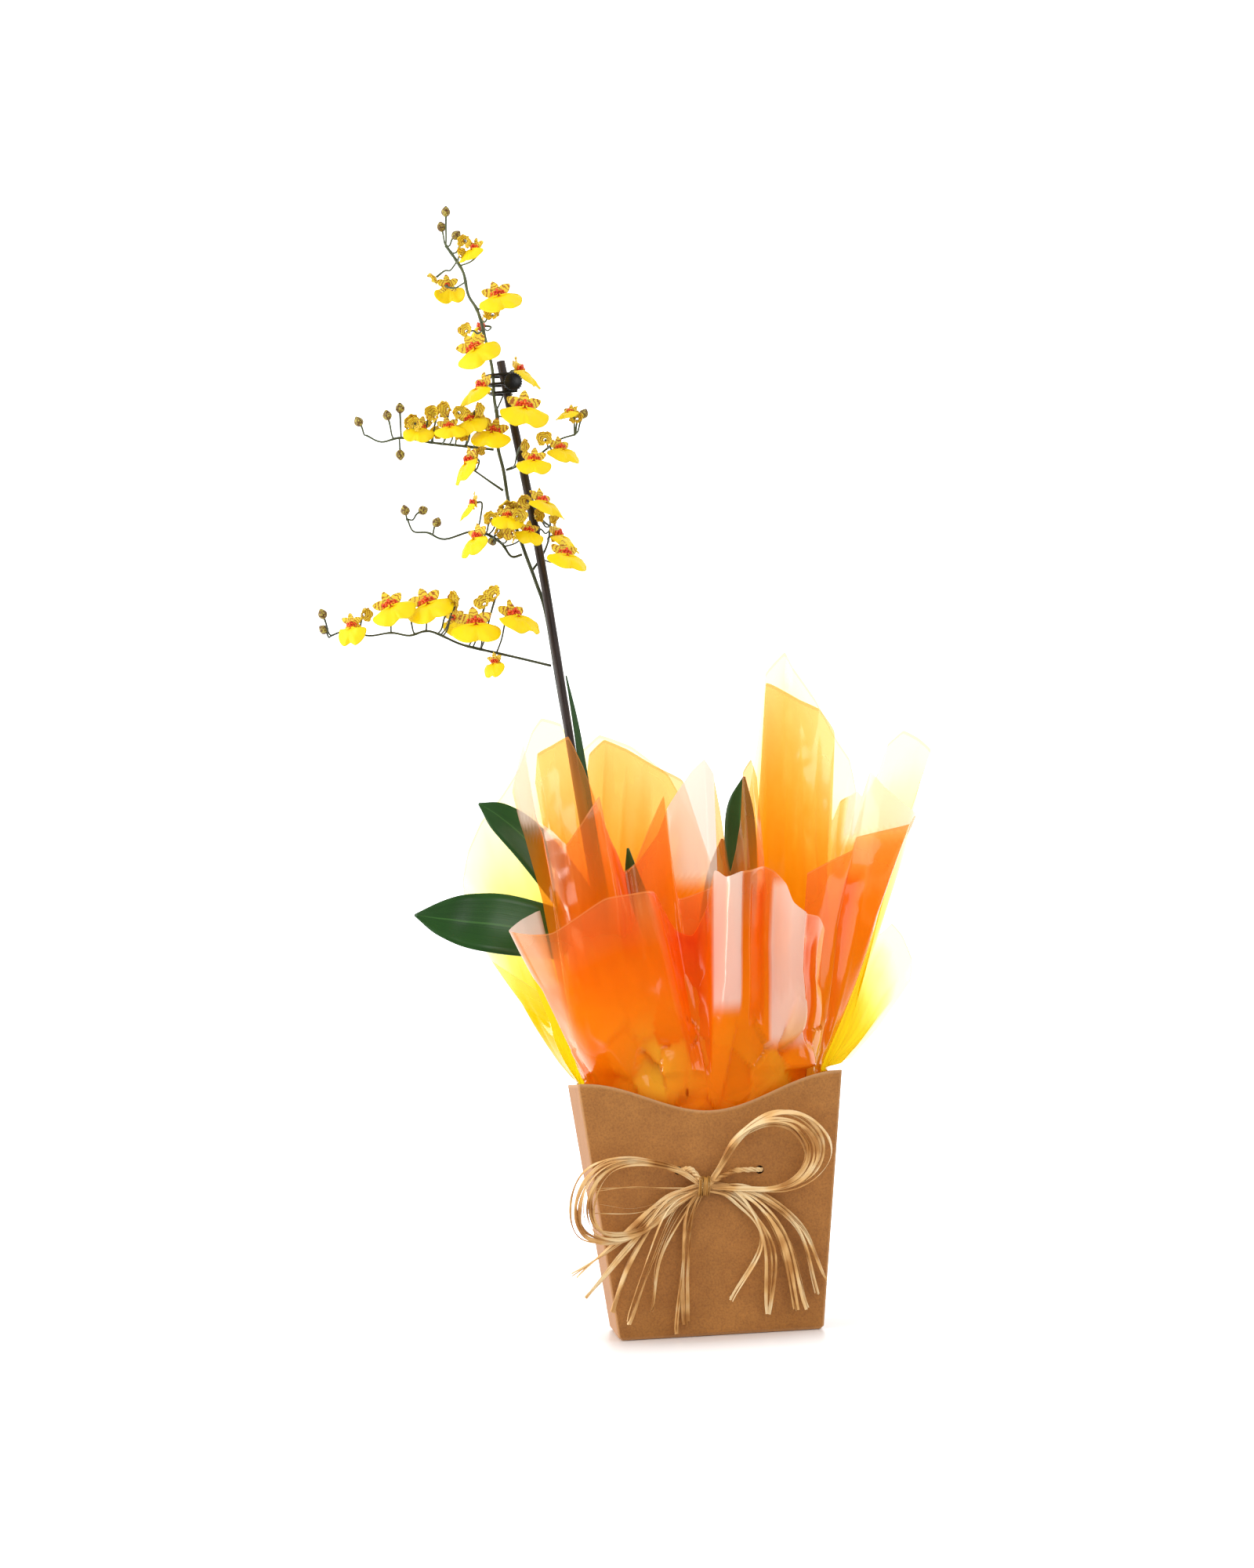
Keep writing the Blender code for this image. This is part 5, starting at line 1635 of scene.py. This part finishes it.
def heart_shape(seed):
    chance = random.Random(seed)
    lumps = []
    spots = list(COLUMN_LUMPS)
    for row, (height, reach, count) in enumerate(WART_ROWS):
        for index in range(count):
            across = reach * (2 * index / (count - 1) - 1)
            ahead = -2.9 + 0.16 * across ** 2 - 0.3 * (row == 1)
            spots.append(((across, ahead, height), chance.uniform(0.72, 1.02)))
    for place, radius in spots:
        shape = bmesh.new()
        bmesh.ops.create_icosphere(shape, subdivisions=1, radius=radius * MM * chance.uniform(0.9, 1.1),
                                   matrix=Matrix.Translation(mm(place)))
        mesh = bpy.data.meshes.new("lump")
        shape.to_mesh(mesh)
        shape.free()
        lumps.append(make_object("lump", mesh))
    heart = join("heart", lumps)
    core = bmesh.new()
    core.from_mesh(heart.data)
    bmesh.ops.create_cone(core, segments=12, radius1=CORE_RADII[0], radius2=CORE_RADII[1],
                          depth=CORE_DEPTH, cap_ends=True,
                          matrix=Matrix.Rotation(math.radians(90), 4, "X"))
    core.to_mesh(heart.data)
    core.free()
    heart.data.shade_smooth()
    return heart


HEART_SHAPES = pattern_collection("heart", [heart_shape(seed) for seed in range(BLOOM_KINDS)])
print(BLOOM_KINDS, "hearts with", sum(count for _, _, count in WART_ROWS), "warts each")

# %% [markdown]
# Every bloom of a spray is placed by its line in the list, and the half-open flowers between them
# get a small chance turn of their own. A spray's flowers are one piece that takes the place of all
# its solid blooms.

# %% Place the blooms
def make_blooms(owner):
    spots = []
    nodes = []
    for number, (home, place, turn, nod, roll, size) in enumerate(BLOOMS, 1):
        if home == owner:
            angles = bloom_turn(turn, nod, roll).to_euler()
            spots.append((number % BLOOM_KINDS, mm(place), angles, (size, size, size)))
            nodes.append(f"bloom_{number:02d}")
    cups = []
    for number, (home, place) in enumerate(HALF_OPEN):
        if home == owner:
            chance = random.Random(number)
            turn = (chance.uniform(-0.5, 0.7), chance.uniform(-0.6, 0.6), chance.uniform(-1.3, 1.3))
            cups.append((number % CUP_KINDS, mm(place), turn, (chance.uniform(0.9, 1.25),) * 3))
    parts = [place_patterns("cups", CUP_SHAPES, cups, TEPAL),
             place_patterns("lips", LIP_SHAPES, spots, LIP),
             place_patterns("tepals", TEPAL_SHAPES, spots, TEPAL),
             place_patterns("hearts", HEART_SHAPES, spots, HEART)]
    blooms = join("blooms_on_" + owner, parts)
    blooms.data.shade_smooth()
    settle(blooms, "bloom_yellow", *nodes)


for spray_name in SPRAYS:
    make_blooms(spray_name)

# %% [markdown]
# ## The clip
# A black claw clip holds the stem to the stake. Three curved claws close round both, behind a
# ridged round button. The claws are swept, and the ridges repeat round the button.

# %% Clip finish and shape
def clip_finish():
    material, tree, shader = blank_finish("black clip")
    spots = mottle(tree, 300.0, 0.2)
    colour = colour_ramp(tree, spots["Patches"], [(0.3, (0.004, 0.004, 0.004)),
                                                  (0.8, (0.014, 0.014, 0.015))])
    set_values(tree, shader, {"Base Color": colour, "Roughness": 0.3, "Normal": spots["Normal"]})
    return material


CLIP = tell(clip_finish())
CLAW_PLAN = ((-80.5, -6.2), (-86.3, -4.2), (-91, -3.6), (-94.8, -2.0), (-95.6, 0), (-94.6, 2.0),
             (-91, 3.4), (-86.3, 4.1), (-83, 3.4))
CLAW_RISES = (-5, 0, 5)
CLAW_RADIUS = 0.95 * MM
BUTTON_CENTRE = (-82, -6.2, 524)
BUTTON_PROFILE = ((0, -1.6), (4.4, -1.6), (4.9, -1.1), (4.9, 1.1), (4.4, 1.6), (0, 1.6))
BUTTON_STEPS = 40
RIDGES = 22
RIDGE_REACH = 4.85
RIDGE_SIZES = (0.9 * MM, 3.0 * MM, 0.5 * MM)


def rounded_button():
    rows = []
    turns = [2 * math.pi * step / BUTTON_STEPS for step in range(BUTTON_STEPS + 1)]
    for reach, back in BUTTON_PROFILE:
        rows.append([mm(BUTTON_CENTRE) + mm((reach * math.cos(turn), back, reach * math.sin(turn)))
                     for turn in turns])
    button = close_seams(grid_object("button", rows), 0.01 * MM)
    button.data.materials.append(CLIP)
    return button


def ridge_bar():
    bpy.ops.mesh.primitive_cube_add(size=1)
    bar = bpy.context.object
    bar.data.transform(Matrix.Diagonal((*RIDGE_SIZES, 1)))
    return bar


def make_clip():
    claws = []
    for rise in CLAW_RISES:
        points = [mm((across - rise * 0.14, back, CLIP_HEIGHT / MM + rise)) for across, back in CLAW_PLAN]
        claws.append(plain_strand(smooth_route(points, 5), 0.9, 0.7))
    ridges = []
    for index in range(RIDGES):
        angle = 2 * math.pi * index / RIDGES
        place = mm(BUTTON_CENTRE) + mm((RIDGE_REACH * math.cos(angle), 0,
                                          RIDGE_REACH * math.sin(angle)))
        ridges.append((0, place, (0, -angle, 0), (1, 1, 1)))
    bars = pattern_collection("ridge", [ridge_bar()])
    parts = [sweep("claws", claws, CLAW_RADIUS, CLIP, 10), rounded_button(),
             place_patterns("ridges", bars, ridges, CLIP)]
    return join("claw_clip", parts)


settle(make_clip(), "clip_plastic", "stake_clip")

# %% [markdown]
# ## The raffia bow
# Raffia is flat dried palm leaf, torn to narrow strips of uneven width. It twists, so a strip
# looks broad in one place and thin in the next. Every main strand of the bow gets a few strips
# that wander beside each other, swept from a flat profile with a random tilt.

# %% Raffia finish
def raffia_finish(name, shades):
    material, tree, shader = blank_finish(name)
    along, around = swept_parts(tree)
    lines = use_group(tree, FIBRES, {"Across": around, "Along": maths(tree, "MULTIPLY", along, 35.0),
                                     "Count": 12.0})
    place = object_coordinates(tree)
    patches = cloud(tree, place, 45.0, 2.0)
    straw = colour_ramp(tree, patches, list(zip((0.36, 0.48, 0.60), shades)))
    colour = blend_colours(tree, maths(tree, "MULTIPLY", lines["Lines"], 0.5), straw, (0.36, 0.14, 0.02))
    set_values(tree, shader, {"Base Color": colour, "Roughness": 0.5, "Normal": lines["Normal"]})
    return material


RAFFIA = tell(raffia_finish("raffia", ((0.50, 0.22, 0.05), (0.84, 0.51, 0.19), (0.96, 0.75, 0.42))))
# Darker straw for the bound knot
DARKER_RAFFIA = tell(raffia_finish("knot raffia", ((0.28, 0.11, 0.015), (0.46, 0.22, 0.04),
                                                (0.60, 0.33, 0.07))))

# %% [markdown]
# The bow's two loops and its tails are routes in millimetres: across, off the box's front, and up.
# Measured this way they follow the sloping wall by themselves. Each strip starts from a route,
# shifts and wanders a little, keeps off the card and the floor, and twists along its length.

# %% Bow routes
KNOT = (-6, 5.5, 79)
LOOP_LEFT = (
    (-8, 5.5, 80), (-20, 8, 89), (-42, 12, 95), (-57, 15, 94), (-67, 16, 88), (-73, 16, 77),
    (-74, 15, 65), (-69, 13, 56), (-56, 10, 53), (-40, 7, 57), (-24, 6, 68), (-9, 5, 77),
)
LOOP_RIGHT = (
    (-4, 5.5, 80), (4, 7, 91), (12, 10, 103), (24, 13, 112), (36, 15, 115), (48, 15, 111),
    (56, 13, 100), (56, 11, 89), (48, 9, 80), (34, 7, 75), (16, 6, 76), (-2, 5, 78),
)
TAILS = (
    ((-26, 5, 74), (-50, 6, 54), (-77, 8, 36)), ((-25, 6, 72), (-48, 7, 50), (-70, 6, 24)),
    ((-24, 5, 70), (-42, 6, 46), (-58, 4, 15)), ((-22, 7, 68), (-36, 8, 42), (-49, 5, 9)),
    ((-20, 5, 67), (-33, 6, 42), (-37, 3, 14)), ((-15, 6, 64), (-20, 7, 36), (-24, 3, 3)),
    ((-14, 5, 62), (-17, 6, 36), (-19, 3, 7)),
    ((10, 5, 72), (24, 7, 50), (6, 5, 19)), ((12, 6, 72), (26, 8, 46), (25, 4, 9)),
    ((14, 5, 73), (32, 7, 50), (40, 4, 12)), ((16, 6, 74), (36, 8, 52), (45, 5, 12)),
    ((18, 5, 74), (40, 7, 54), (51, 4, 19)), ((18, 6, 75), (44, 8, 55), (55, 5, 26)),
)


def off_front(point):
    # From across, off the front and up in millimetres to a place before the box's front
    across, off, up = point
    return Vector((across * MM, -box_half_sizes(max(up * MM, 0))[1] - off * MM, up * MM))


STRIP_CLEARANCE = 1.0 * MM
STRIP_FLOOR = 1.2 * MM
STRIP_DRIFT = 0.35 * MM
MOST_TWIST = 0.12


def raffia_strip(points, chance, width, spread):
    shift = Vector([chance.uniform(-spread, spread) * MM for _ in range(3)])
    route = []
    phase = chance.uniform(0, 6)
    for index, point in enumerate(points):
        share = math.sin(math.pi * index / (len(points) - 1)) ** 0.5
        drift = Vector((math.sin(index * 0.31 + phase), 0.25 * math.cos(index * 0.4 + phase),
                        math.cos(index * 0.27 + phase))) * STRIP_DRIFT
        moved = point + (shift + drift) * share
        front = -box_half_sizes(max(moved.z, 0))[1] - STRIP_CLEARANCE
        moved.y = min(moved.y, front)
        moved.z = max(moved.z, STRIP_FLOOR)
        route.append(moved)
    widths = [width * (1 + 0.25 * math.sin(index * 0.5 + phase)) for index in range(len(route))]
    twist = chance.uniform(-MOST_TWIST, MOST_TWIST)
    tilts = [phase + twist * index for index in range(len(route))]
    return route, widths, tilts


print("two loops and", len(TAILS), "tails of raffia")

# %% [markdown]
# Each loop is a sheaf of strips of slightly different size, and a few thin fibres cross it. Each
# tail is three strips that part as they fall. The laces are three strands twisted round each
# other, because they carry the pull, and a darker bound knot covers the middle.

# %% Make the bow
LOOP_STRIPS = 11
LOOSE_FIBRES = 4
TAIL_STRIPS = 3
LACE_STRANDS = 3
LACE_TWIST = 0.62
KNOT_TURNS = 6
STRIP_HALF_WIDTH = 1.0 * MM
STRIP_FLATNESS = 0.16
LACE_FLATNESS = 0.7
KNOT_FLATNESS = 0.25


def loop_strips(chance):
    strips = []
    for loop in (LOOP_LEFT, LOOP_RIGHT):
        for _ in range(LOOP_STRIPS):
            grow = chance.uniform(0.84, 1.06)
            points = [off_front((KNOT[0] + (across - KNOT[0]) * grow, off + chance.uniform(-0.4, 0.4),
                                 KNOT[2] + (up - KNOT[2]) * grow)) for across, off, up in loop]
            strips.append(raffia_strip(smooth_route(points, 6), chance, chance.uniform(0.55, 1.15), 1.6))
    for _ in range(LOOSE_FIBRES):
        # Loose fibres that cross the left loop
        height = chance.uniform(56, 86)
        points = [off_front((-68 + chance.uniform(-3, 3), 12, height)),
                  off_front((-42, 8, height + chance.uniform(-5, 4))),
                  off_front((-12, 5, 78 + chance.uniform(-2, 1)))]
        strips.append(raffia_strip(smooth_route(points, 12), chance, 0.22, 1.0))
    return strips


def tail_strips(chance):
    strips = []
    for tail in TAILS:
        for _ in range(TAIL_STRIPS):
            bend = [mm((chance.uniform(-1.6, 1.6), 0, chance.uniform(-1.6, 1.6))) for _ in tail]
            points = [off_front((KNOT[0], KNOT[1] - 1, KNOT[2] + chance.uniform(-2, 2)))]
            points += [off_front(point) + shift for point, shift in zip(tail, bend)]
            strips.append(raffia_strip(smooth_route(points, 8), chance, chance.uniform(0.5, 1.15), 1.8))
    return strips


def lace_strips():
    # Three strands twisted round each other, from the knot into each hole
    strips = []
    for across, height in LACE_HOLES:
        wall = -box_half_sizes(height)[1]
        path = smooth_route([off_front(KNOT), Vector(((across + KNOT[0] * MM) / 2, wall - 5 * MM, height)),
                             Vector((across, wall - 1.6 * MM, height)),
                             Vector((across, wall + 4 * MM, height))], 14)
        last = len(path) - 1
        widths = [1.15 - 0.5 * index / last for index in range(len(path))]
        tilts = [index * LACE_TWIST for index in range(len(path))]
        for strand in range(LACE_STRANDS):
            route = []
            for index, point in enumerate(path):
                angle = tilts[index] + strand * 2 * math.pi / LACE_STRANDS
                reach = 0.9 - 0.4 * index / last
                route.append(point + mm((0.3 * math.sin(angle), reach * math.cos(angle),
                                         reach * math.sin(angle))))
            strips.append((route, widths, tilts))
    return strips


def knot_strips():
    centre = off_front(KNOT)
    strips = []
    for turn in range(KNOT_TURNS):
        ring = []
        for step in range(25):
            angle = 2 * math.pi * step / 24 + turn
            ring.append(centre + mm((-2.5 + turn * 1.0 + 0.5 * math.sin(angle), 3.6 * math.cos(angle),
                                     4.6 * math.sin(angle))))
        strips.append((ring, [0.95] * len(ring), [math.pi / 2] * len(ring)))
    return strips


def make_bow():
    chance = random.Random(21)
    flat = loop_strips(chance) + tail_strips(chance)
    print("the bow has", len(flat), "strips")
    parts = [sweep("strips", flat, STRIP_HALF_WIDTH, RAFFIA, 8, STRIP_FLATNESS),
             sweep("laces", lace_strips(), STRIP_HALF_WIDTH, RAFFIA, 8, LACE_FLATNESS),
             sweep("knot", knot_strips(), STRIP_HALF_WIDTH, DARKER_RAFFIA, 8, KNOT_FLATNESS)]
    return join("bow", parts)


settle(make_bow(), "raffia", "raffia_bow")

# %% [markdown]
# ## Floor, light and sky
# The object stands on a plain pale floor that fades into a white surround. The floor turns clear
# with distance, so no horizon shows. It is kept out of mirror-like reflections, which would
# otherwise brighten the film from below.

# %% Floor
FLOOR_RADIUS = 1.2
FLOOR_SOLID = 0.08
FLOOR_GONE = 0.45
BELOW_BOX = 0.4 * MM


def floor_finish():
    material, tree, shader = blank_finish("pale floor")
    place = object_coordinates(tree)
    spots = cloud(tree, place, 4.0, 2.0)
    colour = colour_ramp(tree, spots, [(0.0, (0.86, 0.85, 0.84)), (1.0, (0.90, 0.89, 0.88))])
    set_values(tree, shader, {"Base Color": colour, "Roughness": 0.35})
    far = add(tree, "ShaderNodeVectorMath", {0: place}, operation="LENGTH").outputs["Value"]
    clear = add(tree, "ShaderNodeBsdfTransparent")
    mixed = add(tree, "ShaderNodeMixShader", {"Fac": stretched(tree, far, FLOOR_SOLID, FLOOR_GONE),
                                              1: shader.outputs[0], 2: clear.outputs[0]})
    tree.links.new(mixed.outputs[0], tree.nodes["Material Output"].inputs["Surface"])
    return material


bpy.ops.mesh.primitive_circle_add(vertices=96, radius=FLOOR_RADIUS, fill_type="NGON",
                                  location=(0, 0, -BELOW_BOX))
floor = bpy.context.object
floor.name = "floor"
floor.visible_glossy = False
floor.data.materials.append(tell(floor_finish()))

# %% [markdown]
# A white backdrop looks brighter than the light it gives back, and that is what makes the film
# glow. A room is also darker behind the camera than in front of it. Lit surfaces, the camera and
# mirror-like reflections therefore each see a surround of their own brightness, and the mirrored
# one grows from dark in front to bright behind. Two large soft lights give folds and leaves their
# sheen, and a small low one brightens the film's left side and lays the shadow to the right.

# %% Light
MIRROR_DARK = -0.25
MIRROR_BRIGHT = 0.35
LIGHT_AIM = (-0.03, 0, 0.25)
LIGHTS = (
    ("soft left", (-1.5, -0.7, 0.9), (0.8, 1.2), 14),
    ("soft front right", (0.8, -1.7, 1.0), (1.0, 1.0), 9),
    ("low left", (-1.1, 0.0, 0.12), (0.4, 0.25), 3.5),
)
SKY_LIGHT = 0.95
SKY_SEEN = 2.1
SKY_MIRRORED = 2.0
ROOM_MIRRORED = 0.05


def make_sky():
    world = bpy.data.worlds.new("white surround")
    world.use_nodes = True
    bpy.context.scene.world = world
    tree = world.node_tree
    light = tree.nodes["Background"]
    light.inputs["Color"].default_value = (1, 1, 1, 1)
    light.inputs["Strength"].default_value = SKY_LIGHT
    seen = add(tree, "ShaderNodeBackground", {"Color": (1, 1, 1, 1), "Strength": SKY_SEEN})
    towards = add(tree, "ShaderNodeTexCoord").outputs["Generated"]
    back = add(tree, "ShaderNodeSeparateXYZ", {"Vector": towards}).outputs["Y"]
    room = stretched(tree, back, MIRROR_DARK, MIRROR_BRIGHT, ROOM_MIRRORED, SKY_MIRRORED)
    dim = add(tree, "ShaderNodeBackground", {"Color": (1, 1, 1, 1), "Strength": room})
    ray = add(tree, "ShaderNodeLightPath").outputs
    mirrored = add(tree, "ShaderNodeMixShader", {"Fac": ray["Is Glossy Ray"], 1: light.outputs[0],
                                                 2: dim.outputs[0]})
    mixed = add(tree, "ShaderNodeMixShader", {"Fac": ray["Is Camera Ray"], 1: mirrored.outputs[0],
                                              2: seen.outputs[0]})
    tree.links.new(mixed.outputs[0], tree.nodes["World Output"].inputs["Surface"])


def make_light(name, place, size, power):
    data = bpy.data.lights.new(name, "AREA")
    data.shape = "RECTANGLE"
    data.size, data.size_y = size
    data.energy = power
    light = bpy.data.objects.new(name, data)
    light.location = place
    aim = Vector(LIGHT_AIM) - Vector(place)
    light.rotation_euler = aim.to_track_quat("-Z", "Y").to_euler()
    light.visible_camera = False
    bpy.context.scene.collection.objects.link(light)


make_sky()
for lamp in LIGHTS:
    make_light(*lamp)
print(len(LIGHTS), "lights and a white surround")
bpy.context.scene.view_settings.view_transform = "Standard"
bpy.context.scene.cycles.transparent_max_bounces = 32
